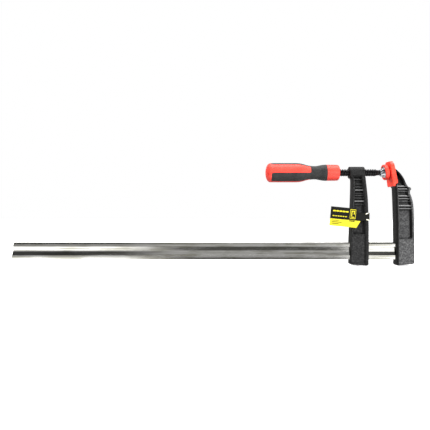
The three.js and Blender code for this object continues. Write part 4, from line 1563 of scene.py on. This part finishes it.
@dataclass
class Spindle:
    """The threaded spindle and its ball.

    Attributes:
        layout: Shared places.
        radius: Radius over the thread.
        pitch: Advance in one turn.
        depth: Depth of the thread.
        crest: Half the width of the thread's crest.
        flank: Width of a flank.
        neck_radius: Radius of the neck behind the ball.
        neck_length: Length of the neck.
        taper: Length over which the thread runs out into the neck.
        tail_radius: Radius of the plain tail inside the handle.
        ball_radius: Radius of the ball.
        stem_radius: Radius of the ball's stem.
    """

    layout: Layout
    radius: float = 6.0
    pitch: float = 4.0
    depth: float = 1.3
    crest: float = 0.85
    flank: float = 0.6
    neck_radius: float = 4.6
    neck_length: float = 3.6
    taper: float = 3.0
    tail_radius: float = 4.5
    ball_radius: float = 4.5
    stem_radius: float = 2.4

    def thread(self) -> bpy.types.Object:
        """Threaded rod: the radius drops from crest to root with the phase x / pitch - angle / turn.

        Returns:
            The rod.
        """
        low, high = corners_mm("spindle")
        handle_end = corners_mm("handle_core")[1][0]
        thread_start, thread_end = handle_end - 2.0, high[0] - self.neck_length
        x = np.concatenate([
            np.linspace(low[0], low[0] + 1, 3),
            np.linspace(low[0] + 2, thread_start - 0.4, 12),
            np.arange(thread_start, thread_end + 0.01, 0.2),
            np.linspace(thread_end + 0.4, high[0], 10),
        ])
        angle = np.linspace(0, 2 * np.pi, 72, endpoint=False)
        phase = (x[:, None] / self.pitch - angle[None, :] / (2 * np.pi)) % 1.0
        away = np.abs(phase - 0.5) * self.pitch
        thread = self.radius - self.depth * smoothstep(self.crest, self.crest + self.flank, away)
        tail, neck = self.tail_radius, self.neck_radius
        blank = np.interp(x, [low[0], low[0] + 1, thread_start - 0.01, thread_start,
                              thread_end - self.taper, thread_end, high[0] - 0.6, high[0]],
                          [tail - 0.6, tail, tail, self.radius, self.radius, neck, neck, neck - 0.5])[:, None]
        threaded = (x >= thread_start) & (x <= thread_end)
        radius = np.where(threaded[:, None], np.minimum(thread, blank), blank)
        points = np.stack([np.repeat(x[:, None], 72, axis=1), -radius * np.cos(angle),
                           self.layout.axis_z + radius * np.sin(angle)], axis=-1)
        return surface("threaded_spindle", points)

    def ball(self) -> bpy.types.Object:
        """The ball and its stem, turned from a circle's arc.

        Returns:
            The ball.
        """
        low = corners_mm("swivel_ball")[0]
        limit = math.asin(self.stem_radius / self.ball_radius)
        a = np.linspace(np.pi - limit, 0, 24)
        arc = np.column_stack([self.layout.ball_x + self.ball_radius * np.cos(a),
                               self.ball_radius * np.sin(a)])
        arc[-1, 1] = 0.0
        stem = np.array([(low[0], 0), (low[0], self.stem_radius - 0.2), (low[0] + 0.2, self.stem_radius)])
        return turned("spindle_ball", np.concatenate([stem, arc]), self.layout.axis_z, 64)

    def build(self) -> list[bpy.types.Object]:
        """The threaded rod rides on the spindle's body, and the ball on the body that doesn't turn.

        Returns:
            The finished pieces.
        """
        dark = WorkedSteel("black_oxide", (0.06, 0.06, 0.062), (0.018, 0.018, 0.02), 0.33).material()
        return [finished(self.thread(), 50.0, dark, "spindle", "black_steel", "spindle"),
                finished(self.ball(), 50.0, dark, "spindle_end", "black_steel", "swivel_ball")]


@dataclass
class Swivel:
    """The swivel plate with its crimped collar, and the moulded cap snapped over it.

    Attributes:
        layout: Shared places.
        face: Distance of the pressing face ahead of the ball's centre.
        radius: Outer radius of the cap.
        length: Length of the cap.
        wall: Wall of the cap.
        face_wall: Thickness of the cap's face.
        mouth: Radius of the cap's opening.
        petals: Number of crimped petals on the collar.
        notch: Depth of the notches between them.
        socket: Radius of the socket for the ball.
        collar: Length of the collar ahead of the cap's rim.
    """

    layout: Layout
    face: float = 8.6
    radius: float = 13.5
    length: float = 6.7
    wall: float = 2.0
    face_wall: float = 2.4
    mouth: float = 10.4
    petals: int = 6
    notch: float = 1.25
    socket: float = 4.8
    collar: float = 6.1

    def tilted(self, piece: bpy.types.Object) -> bpy.types.Object:
        """Turn a piece about the ball's centre, so that its face is parallel to the fixed pad.

        Args:
            piece: Piece drawn along the spindle's axis.

        Returns:
            The same piece.
        """
        co = points_of(piece)
        centre = np.array([self.layout.ball_x, 0.0, self.layout.axis_z])
        c, s = math.cos(self.layout.lean), math.sin(self.layout.lean)
        x, z = co[:, 0] - centre[0], co[:, 2] - centre[2]
        co[:, 0], co[:, 2] = centre[0] + x * c - z * s, centre[2] + x * s + z * c
        piece.data.vertices.foreach_set("co", (co * MM).astype(np.float32).ravel())
        piece.data.update()
        return piece

    def plate(self) -> bpy.types.Object:
        """Disc and flaring collar; the collar's radius falls between its petals by a power of a cosine.

        Returns:
            The plate.
        """
        face_x = self.layout.ball_x + self.face
        rim = face_x - self.length
        front = face_x - self.face_wall - 0.3
        end = rim - self.collar
        reach = np.linspace(0, np.pi - math.asin(4.2 / self.socket), 16)
        inside = np.column_stack([self.layout.ball_x + self.socket * np.cos(reach),
                                  self.socket * np.sin(reach)])
        inside[0, 1] = 0.0
        disc = self.radius - self.wall - 0.3
        outer = rounded([(end, 4.3), (end, 5.7), (rim - 1.0, 8.2), (rim + 1.2, 9.6),
                         (front - 2.0, 9.9), (front - 2.0, disc), (front, disc), (front, 0)],
                        [0.1, 0.6, 1.6, 0.8, 0.3, 0.5, 0.5, 0], 5, closed=False)
        profile = np.concatenate([inside, densified(outer, 0.4)])

        on_outside = (np.arange(len(profile)) >= len(inside) + 3)[:, None]

        def notches(x: Array, angle: Array) -> Array:
            """Notches between the petals, deepest near the collar's narrow end, and none in the socket.

            Args:
                x: X of the points.
                angle: Angles round the axis.

            Returns:
                Radius to add.
            """
            notch = np.abs(np.cos(angle * self.petals / 2)) ** 7
            reach_in = 1 - smoothstep(end + 1.2, rim + 1.2, x)
            outside = smoothstep(0.0, 0.5, x - end + 0.4) * (x > end - 0.01)
            return -self.notch * notch * reach_in * outside * on_outside

        return turned("swivel_collar", profile, self.layout.axis_z, 144, notches)

    def cap(self) -> bpy.types.Object:
        """Moulded cup with a rolled lip, turned from one closed outline.

        Returns:
            The cap.
        """
        face_x = self.layout.ball_x + self.face
        rim = face_x - self.length
        inside = self.radius - self.wall
        floor = face_x - self.face_wall
        corners = [(floor, 0), (floor, inside), (rim + 1.7, inside), (rim + 1.4, self.mouth),
                   (rim + 0.3, self.mouth), (rim, self.radius - 1.0), (rim + 0.8, self.radius),
                   (face_x, self.radius), (face_x, 0)]
        radii = [0, 0.5, 0.4, 0.5, 0.5, 1.2, 1.2, 1.3, 0]
        profile = rounded(corners, radii, 6, closed=False)
        return turned("swivel_cap_moulding", densified(profile, 1.2), self.layout.axis_z, 128)

    def build(self) -> list[bpy.types.Object]:
        """Dress the plate as pressed steel and the cap as moulded plastic.

        Returns:
            The finished pieces.
        """
        plate, cap = self.tilted(self.plate()), self.tilted(self.cap())
        zinc = WorkedSteel("pressed_zinc", (0.82, 0.83, 0.84), (0.42, 0.46, 0.5), 0.24, 500.0)
        red = MouldedPlastic("swivel_red", (0.88, 0.06, 0.038), (0.76, 0.042, 0.026), 0.36, 0.15, 0.05)
        return [finished(plate, 50.0, zinc.material(), "swivel", "swivel_steel", "swivel_plate"),
                finished(cap, 40.0, red.material(), "swivel_cap", "red_plastic", "swivel_cap")]


# ---- Handle ----------------------------------------------------------------------------------------------


@dataclass
class Handle:
    """The handle: a hard red core and a soft grip moulded into it.

    Attributes:
        layout: Shared places.
        collar_length: Length of the red collar at the spindle's end.
        sleeve_length: Length of the grip's full ring.
        panel_start: Where the long panels start, from the butt.
        panels: Number of long panels.
        panel_angle: Width of a panel, in degrees.
        first_panel: Middle of the front panel above the horizontal, in degrees.
        unroll: Radius at which the panels' widths are measured.
        depth: Thickness of the grip.
        proud: How far the grip stands over the core.
        seat_play: Play between the grip and its seat in the core.
        tail_bore: Radius of the bore for the spindle's plain tail.
        mouth_bore: Radius of the bore at the collar's end, where the thread starts.
        mouth_depth: Depth of that wider bore.
        knots: Points (distance from the butt, radius) that the outer form goes through.
    """

    layout: Layout
    collar_length: float = 21.8
    sleeve_length: float = 28.0
    panel_start: float = 9.3
    panels: int = 3
    panel_angle: float = 61.0
    first_panel: float = -35.0
    unroll: float = 16.5
    depth: float = 2.4
    proud: float = 0.12
    seat_play: float = 0.12
    tail_bore: float = 4.8
    mouth_bore: float = 6.3
    mouth_depth: float = 2.3
    knots: list[tuple[float, float]] = field(default_factory=lambda: [
        (8.5, 16.35), (24.0, 16.5), (50.0, 16.5), (58.0, 16.1), (64.0, 15.0), (70.0, 13.2),
        (76.0, 12.0), (83.0, 11.3), (87.0, 11.4), (92.0, 12.3), (97.0, 13.2), (102.0, 13.75),
        (106.6, 13.85), (118.0, 13.75), (126.6, 13.4)])

    def ends(self) -> tuple[float, float]:
        """X of the butt and of the collar's end."""
        low, high = corners_mm("handle_core")
        return float(low[0]), float(high[0])

    def radius(self, x: Array) -> Array:
        """Outer radius: a smooth curve through the knots, a domed butt and a rounded collar end.

        Args:
            x: X of the points.

        Returns:
            The radius.
        """
        butt, end = self.ends()
        along = x - butt
        full = curve(self.knots, np.clip(along, self.knots[0][0], self.knots[-1][0]))
        t = np.clip(1 - along / self.knots[0][0], 0, 1)
        dome = np.maximum(1 - t**2.3, 0.0) ** 0.5
        return full * dome - 1.2 * round_off(end - x, 3.2)

    def solid(self, name: str, grow: float, segments: int = 120) -> bpy.types.Object:
        """The handle's outer form, grown or shrunk by a distance.

        Args:
            name: The object's name.
            grow: How far it is grown.
            segments: Steps round the axis.

        Returns:
            The solid.
        """
        butt, end = self.ends()
        x = np.concatenate([
            butt + self.knots[0][0] * (1 - np.cos(np.linspace(0, np.pi / 2, 14)))[:-1],
            np.arange(butt + self.knots[0][0], end - 3.3, 1.1),
            end - 3.3 * (1 - np.sin(np.linspace(0, np.pi / 2, 9))),
        ])
        r = np.maximum(self.radius(x) + grow, 0.0)
        r[0] = 0.0
        profile = np.vstack([np.column_stack([x, r]), [(end, 0.0)]])
        return turned(name, profile, self.layout.axis_z, segments)

    def patch(self, start: float, stop: float, half: float, middle: float, corners: Sequence[float],
              depths: tuple[float, float]) -> bpy.types.Object:
        """Wedge over a part of the handle: its outline on the unrolled handle is a rounded rectangle.

        Args:
            start: X where it starts.
            stop: X where it ends.
            half: Half its width, along the unrolled surface.
            middle: Its middle above the horizontal, in degrees.
            corners: Rounding of its corners, from the one at the start and low.
            depths: Radii between which it lies.

        Returns:
            The solid.
        """
        outline = rounded([(start, -half), (stop, -half), (stop, half), (start, half)], corners, 8)
        outline = densified(np.vstack([outline, outline[:1]]), 2.0)[:-1]
        angle = math.radians(middle) + outline[:, 1] / self.unroll
        rows = [np.column_stack([outline[:, 0], -r * np.cos(angle), self.layout.axis_z + r * np.sin(angle)])
                for r in depths]
        return surface("patch", np.stack(rows))

    def panel(self, middle: float, play: float) -> bpy.types.Object:
        """Space of one long panel, grown by a play.

        Args:
            middle: Its middle above the horizontal, in degrees.
            play: How far it is grown.

        Returns:
            The solid.
        """
        butt, end = self.ends()
        half = math.radians(self.panel_angle / 2) * self.unroll + play
        return self.patch(butt + self.panel_start - play, end - self.collar_length - self.sleeve_length + 3,
                          half, middle, (3.4, 0, 0, 3.4), (7.0, 22.0))

    def window(self, middle: float, play: float) -> bpy.types.Object:
        """Space between two panels, with rounded corners at the full ring, made smaller by a play.

        Args:
            middle: Its middle above the horizontal, in degrees.
            play: How far it is made smaller.

        Returns:
            The solid.
        """
        stop = self.ends()[1] - self.collar_length - self.sleeve_length - play
        half = math.radians(180 / self.panels - self.panel_angle / 2) * self.unroll - play
        return self.patch(stop - 12, stop, half, middle, (0, 3.0, 3.0, 0), (6.5, 23.0))

    def zones(self, play: float) -> bpy.types.Object:
        """All of the grip's space, grown by a play: the full ring and the long panels, less the windows.

        Args:
            play: How far the space is grown.

        Returns:
            The solid.
        """
        _, end = self.ends()
        stop = end - self.collar_length + play
        start = stop - self.sleeve_length - 2 * play - 6
        ring = np.array([(start, 0), (start, 22), (stop, 22), (stop, 0)], float)
        zone = turned("grip_zone", ring, self.layout.axis_z, 96)
        for i in range(self.panels):
            middle = self.first_panel + i * 360 / self.panels
            combine(zone, self.panel(middle, play), Cut.JOIN)
            combine(zone, self.window(middle + 180 / self.panels, play), Cut.REMOVE)
        return zone

    def build(self) -> list[bpy.types.Object]:
        """Cut the grip out of the handle's form, and its seat and the spindle's bore out of the core.

        Returns:
            The finished pieces.
        """
        grip = self.solid("soft_grip", self.proud)
        combine(grip, self.zones(0.0), Cut.KEEP_COMMON)
        combine(grip, self.solid("grip_inside", -self.depth), Cut.REMOVE)
        seat = self.zones(self.seat_play)
        combine(seat, self.solid("seat_inside", -self.depth - self.seat_play), Cut.REMOVE)
        core = self.solid("handle_moulding", 0.0)
        combine(core, seat, Cut.REMOVE)
        bottom = corners_mm("spindle")[0][0] - 0.3
        end = self.ends()[1]
        step = end - self.mouth_depth
        bore = np.array([(bottom, 0), (bottom, self.tail_bore), (step, self.tail_bore),
                         (step, self.mouth_bore), (end + 2, self.mouth_bore), (end + 2, 0)])
        combine(core, turned("bore_cutter", bore, self.layout.axis_z, 64), Cut.REMOVE)
        red = MouldedPlastic("handle_red", (0.92, 0.078, 0.056), (0.84, 0.055, 0.038), 0.45, 0.12, 0.08)
        skin = SoftTouch("soft_grip_skin").material()
        return [finished(core, 40.0, red.material(), "spindle", "handle_red", "handle_core"),
                finished(grip, 40.0, skin, "spindle", "soft_grip", "handle_grip")]


# ---- Tag -------------------------------------------------------------------------------------------------


@dataclass(frozen=True)
class Mark:
    """A plain shape on the tag, printed on the card: a bar with round ends, in card coordinates in
    millimetres.

    Attributes:
        start: Left end (across, up).
        end: Right end (across, up).
        half: Half its thickness.
        ink: 0 for black, 1 for yellow, 2 for white.
    """

    start: tuple[float, float]
    end: tuple[float, float]
    half: float
    ink: float

    def covers(self, u: Array, v: Array) -> Array:
        """Where the bar lies: nearer to its middle line than half its thickness.

        Args:
            u: Places across.
            v: Places up.

        Returns:
            Whether each place is covered.
        """
        a, b = np.array(self.start), np.array(self.end)
        run = b - a
        t = np.clip(((u - a[0]) * run[0] + (v - a[1]) * run[1]) / max(run @ run, 1e-9), 0, 1)
        return np.hypot(u - a[0] - t * run[0], v - a[1] - t * run[1]) < self.half


@dataclass
class HangTag:
    """The hang tag: a printed card and the strap that holds it on the sliding jaw's arm.

    Attributes:
        layout: Shared places.
        width: Width of the card's black part.
        height: Height of the card.
        band: Height of the yellow band.
        overrun: How far the band runs past the black part.
        tilt: How far the card hangs askew, in degrees.
        thickness: Thickness of the card.
        cell: Size of the grid's cells.
        strap_wall: Thickness of the strap.
        reach: How far the strap runs past the CAD's on the side that faces the work.
    """

    layout: Layout
    width: float = 44.5
    height: float = 32.5
    band: float = 12.0
    overrun: float = 7.5
    tilt: float = 5.5
    thickness: float = 0.7
    cell: float = 0.3
    strap_wall: float = 0.8
    reach: float = 1.5

    def marks(self) -> list[Mark]:
        """Plain bars that stand for a heading, a second line, a pictogram and small print.

        Returns:
            The marks.
        """
        heading = [Mark((5.0 + 5.4 * i, 25.6), (7.4 + 5.4 * i, 25.6), 1.3, 1.0) for i in range(5)]
        second = [Mark((4.4 + 4.2 * i, 17.2), (6.6 + 4.2 * i, 17.2), 0.7, 0.85) for i in range(6)]
        corners = [(33.5, 30.3), (42.5, 30.3), (42.5, 15.0), (33.5, 15.0)]
        frame_lines = [Mark(*sorted((a, b)), 0.35, 1.0) for a, b in zip(corners, corners[1:] + corners[:1])]
        picture = [Mark((36.0, 27.6), (40.2, 27.6), 0.8, 1.0), Mark((36.0, 19.5), (36.0, 27.6), 0.7, 1.0),
                   Mark((40.2, 22.8), (40.2, 27.6), 0.7, 1.0), Mark((36.0, 17.4), (40.2, 17.4), 0.8, 1.0)]
        small = [Mark((3.4, 9.3 - 2.6 * i), (15.0 + 5.0 * (i % 2), 9.3 - 2.6 * i), 0.55, 0.15)
                 for i in range(3)]
        feet = [Mark((33.6 + 3.1 * i, 10.6), (34.8 + 3.1 * i, 10.6), 1.0, 0.0) for i in range(3)]
        return heading + second + frame_lines + picture + small + feet

    def right_edge(self, v: Array) -> Array:
        """Where the card ends at each height: the band's end slants, and the black part is upright."""
        slant = self.width + 1.5 + (self.overrun - 1.5) * v / self.band
        return np.where(v <= self.band, slant, self.width)

    def card(self) -> bpy.types.Object:
        """Card as a grid with a slight curl, its ink worked out at each point from the marks.

        Returns:
            The card.
        """
        low, high = corners_mm("tag_card")
        v = np.unique(np.concatenate([np.arange(0, self.height, self.cell),
                                      [self.band, self.band + 0.02, self.height]]))
        share = np.linspace(0, 1, int(self.width / self.cell))
        u = share[None, :] * self.right_edge(v)[:, None]
        vv = np.repeat(v[:, None], len(share), axis=1)
        ink = np.where(vv <= self.band, 1.0, 0.0)
        for mark in self.marks():
            ink = np.where(mark.covers(u, vv), mark.ink, ink)
        c, s = math.cos(math.radians(self.tilt)), math.sin(math.radians(self.tilt))
        foot_x = low[0]
        foot_z = high[2] - self.height * c
        x = foot_x + u * c + vv * s
        z = foot_z - u * s + vv * c
        curl = 0.25 * np.sin(np.pi * share)[None, :] * (0.4 + 0.6 * vv / self.height)
        front = np.stack([x, np.full(x.shape, high[1] - self.thickness) - curl, z], axis=-1)
        back = front + np.array([0.0, self.thickness, 0.0])
        points = np.concatenate([front, back[:, ::-1]], axis=1)
        inks = np.concatenate([ink, np.where(vv <= self.band, 1.0, 0.0)[:, ::-1]], axis=1)
        rows, columns = points.shape[:2]
        index = np.arange(rows * columns).reshape(rows, columns)
        half = columns // 2
        flip = index[:, ::-1]
        foot = np.stack([index[0, 1:half], index[0, :half - 1], flip[0, :half - 1], flip[0, 1:half]], -1)
        head = np.stack([index[-1, :half - 1], index[-1, 1:half], flip[-1, 1:half], flip[-1, :half - 1]], -1)
        mesh = bpy.data.meshes.new("tag_card_print")
        faces = np.concatenate([quads(index), foot, head]).tolist()
        mesh.from_pydata((points.reshape(-1, 3) * MM).tolist(), [], faces)
        clean(mesh, merge=False)
        card = link("tag_card_print", mesh)
        store(card, INK, inks)
        return card

    def strap(self) -> bpy.types.Object:
        """Strap as a rounded loop round the arm, with white marks.

        Returns:
            The strap.
        """
        low, high = corners_mm("tag_strap")
        high[0] += self.reach
        corners = [(low[0], low[1]), (high[0], low[1]), (high[0], high[1]), (low[0], high[1])]
        outer = rounded(corners, 2.2, 6)
        outer = densified(np.vstack([outer, outer[:1]]), 0.5)[:-1]
        centre = np.array([(low[0] + high[0]) / 2, (low[1] + high[1]) / 2])
        room = (high[:2] - low[:2]) / 2
        inner = centre + (outer - centre) * (1 - self.strap_wall / room)
        z = np.linspace(low[2], high[2], 40)
        outside = [np.column_stack([outer, np.full(len(outer), h)]) for h in z]
        inside = [np.column_stack([inner, np.full(len(inner), h)]) for h in z[::-1]]
        rows = np.stack(outside + inside + outside[:1])
        piece = surface("tag_strap_band", rows, close_ends=False)
        co = points_of(piece)
        front = co[:, 1] < low[1] + 0.4
        ink = np.zeros(len(co))
        # Two small white marks at the top and bottom of the strap's front, near its right end.
        for mark in (Mark((high[0] - 6.4, high[2] - 1.7), (high[0] - 3.4, high[2] - 0.5), 0.75, 2.0),
                     Mark((high[0] - 5.2, low[2] + 1.6), (high[0] - 1.8, low[2] + 1.0), 0.75, 2.0)):
            ink = np.where(mark.covers(co[:, 0], co[:, 2]) & front, mark.ink, ink)
        store(piece, INK, ink)
        return piece

    def build(self) -> list[bpy.types.Object]:
        """Dress the card and the strap and tie both to the sliding jaw.

        Returns:
            The finished pieces.
        """
        ink = PrintedCard("tag_print").material()
        return [finished(self.card(), 40.0, ink, "sliding_jaw", "tag_print", "tag_card"),
                finished(self.strap(), 40.0, ink, "sliding_jaw", "strap_black", "tag_strap")]


# ---- Studio ----------------------------------------------------------------------------------------------


@dataclass(frozen=True)
class Lamp:
    """Soft square lamp that faces the clamp and doesn't show in its reflections.

    Attributes:
        name: The lamp's name.
        at: Its place, in metres.
        side: Its side, in metres.
        watts: Its power.
        towards: Point that it faces, in metres.
    """

    name: str
    at: tuple[float, float, float]
    side: float
    watts: float
    towards: tuple[float, float, float] = (0.2, 0.0, 0.08)

    def build(self) -> None:
        """Put the lamp into the scene."""
        data = bpy.data.lights.new(self.name, "AREA")
        data.shape = "RECTANGLE"
        data.size = data.size_y = self.side
        data.energy = self.watts
        lamp = bpy.data.objects.new(self.name, data)
        lamp.visible_glossy = False
        lamp.location = self.at
        aim = Vector(self.towards) - Vector(self.at)
        lamp.rotation_euler = aim.to_track_quat("-Z", "Y").to_euler()
        bpy.context.scene.collection.objects.link(lamp)


@dataclass
class Studio:
    """Pale floor, soft light and the camera.

    Attributes:
        distance: Camera's distance from the clamp's mid-plane, in metres.
        aim: Point that the camera looks at, in metres.
        lens: Focal length for a 36 mm sensor.
        floor_size: Radius of the floor, in metres.
        floor_z: Height of the floor, in millimetres.
        overhead: Strength of the ring of light overhead.
        left: Sky's strength in front on the left: below, at and above the level line.
        middle: The same for the middle.
        right: The same for the right.
        back: The same behind the clamp.
        lamps: The lamps.
    """

    distance: float = 0.85
    aim: tuple[float, float, float] = (0.0063, 0.0, 0.0853)
    lens: float = 41.16
    floor_size: float = 9.0
    floor_z: float = -1.9
    overhead: float = 6.5
    left: tuple[float, float, float] = (1.9, 0.4, 0.06)
    middle: tuple[float, float, float] = (0.12, 0.52, 0.46)
    right: tuple[float, float, float] = (2.0, 1.9, 0.06)
    back: tuple[float, float, float] = (0.9, 0.2, 0.6)
    lamps: tuple[Lamp, ...] = (Lamp("key", (0.85, -1.1, 0.85), 0.45, 34.0),
                               Lamp("fill", (-0.7, -1.0, 0.5), 0.5, 11.0),
                               Lamp("rear", (-0.5, 1.3, 0.8), 0.6, 40.0))

    def camera(self) -> None:
        """Level camera straight in front of the clamp."""
        data = bpy.data.cameras.new("camera")
        data.lens = self.lens
        data.sensor_width = 36.0
        data.clip_end = 50.0
        camera = bpy.data.objects.new("camera", data)
        camera.location = (self.aim[0], -self.distance, self.aim[2])
        camera.rotation_euler = (math.pi / 2, 0.0, 0.0)
        bpy.context.scene.collection.objects.link(camera)
        bpy.context.scene.camera = camera

    def floor(self) -> None:
        """Pale matt disc just under the clamp, worked out as rings."""
        ring = np.array([0.0, 0.4, 1.2, 3.0, self.floor_size]) / MM
        angle = np.linspace(0, 2 * np.pi, 64, endpoint=False)
        points = np.stack([ring[:, None] * np.cos(angle), ring[:, None] * np.sin(angle),
                           np.full((len(ring), 64), self.floor_z)], axis=-1)
        floor = surface("floor", points, close_ends=False)
        sheet = NodeSheet("pale_floor")
        dust = sheet.noise(40.0, 4.0, 0.6)
        tone = sheet.mix(dust, grey(0.9), grey(0.93))
        paint(floor, sheet.finish(Base_Color=tone, Roughness=0.95, Specular_IOR_Level=0.0,
                                  Emission_Color=grey(1.0), Emission_Strength=0.35))
        floor.visible_glossy = False
        floor.visible_diffuse = False

    def sky(self) -> None:
        """White for the camera; for the clamp, a ring of light overhead and reflections in four parts.

        In front, the left part is bright low down and dim above, the middle is the other way round, and
        the right part is bright up to the level line. The back is dim only along the level line.
        """
        world = bpy.data.worlds.new("studio")
        world.use_nodes = True
        bpy.context.scene.world = world
        tree = world.node_tree
        tree.nodes.clear()
        sheet = Sheet(tree)
        direction = sheet.node("ShaderNodeTexCoord").outputs["Generated"]
        parts = sheet.node("ShaderNodeSeparateXYZ", {0: direction})
        x, y, z = (parts.outputs[axis] for axis in "XYZ")
        front = sheet.between(y, 1.0, 0.0, -0.35, 0.05)
        left = sheet.between(x, 1.0, 0.0, -0.2, -0.08)
        right = sheet.between(x, 0.0, 1.0, 0.262, 0.29)
        middle = sheet.difference(sheet.difference(1.0, left), right)
        near = sheet.product(front, sheet.between(x, 0.3, 1.0, -0.62, -0.46))
        back = sheet.difference(1.0, front)
        light = sheet.product(sheet.between(z, 0.0, self.overhead, 0.87, 0.93),
                              sheet.between(z, 1.0, 0.1, 0.955, 0.99))
        nadir = sheet.between(z, 0.08, 1.0, -0.97, -0.88)
        for part, (below, level, above) in ((sheet.product(left, near), self.left),
                                            (sheet.product(middle, near), self.middle),
                                            (sheet.product(right, near), self.right),
                                            (back, self.back)):
            rise = sheet.sum(sheet.between(z, below, level, -0.24, -0.1),
                             sheet.between(z, 0.0, above - level, 0.02, 0.16))
            light = sheet.sum(light, sheet.product(part, rise, nadir))
        lit = sheet.node("ShaderNodeBackground", {"Strength": light}).outputs[0]
        white = sheet.node("ShaderNodeBackground", {"Color": grey(1.0)}).outputs[0]
        seen = sheet.node("ShaderNodeLightPath").outputs["Is Camera Ray"]
        choice = sheet.node("ShaderNodeMixShader", {"Fac": seen, 1: lit, 2: white}).outputs[0]
        sheet.node("ShaderNodeOutputWorld", {"Surface": choice})

    def build(self) -> None:
        """Set the camera, the floor and the light."""
        bpy.context.scene.view_settings.view_transform = "Standard"
        self.camera()
        self.floor()
        self.sky()
        for lamp in self.lamps:
            lamp.build()


def main() -> None:
    """Build the studio and every sub-assembly in order."""
    logging.basicConfig(level=logging.INFO, format="%(name)s: %(message)s")
    layout = Layout.read()
    Studio().build()
    Rail(layout).build()
    JawPins().build()
    # The fixed jaw's paint has paler greys than the sliding jaw's: painted light, for the brighter light that
    # falls on the fixed jaw.
    FixedJaw(layout, "fixed_jaw", "frame", HammeredPaint("fixed_jaw_paint_lit", 0.03, 0.14, 0.17)).build()
    JawCap(layout).build()
    SlidingJaw(layout, "sliding_jaw", "sliding_jaw", HammeredPaint("sliding_jaw_paint")).build()
    Spindle(layout).build()
    Swivel(layout).build()
    Handle(layout).build()
    HangTag(layout).build()


if __name__ == "__main__":
    main()
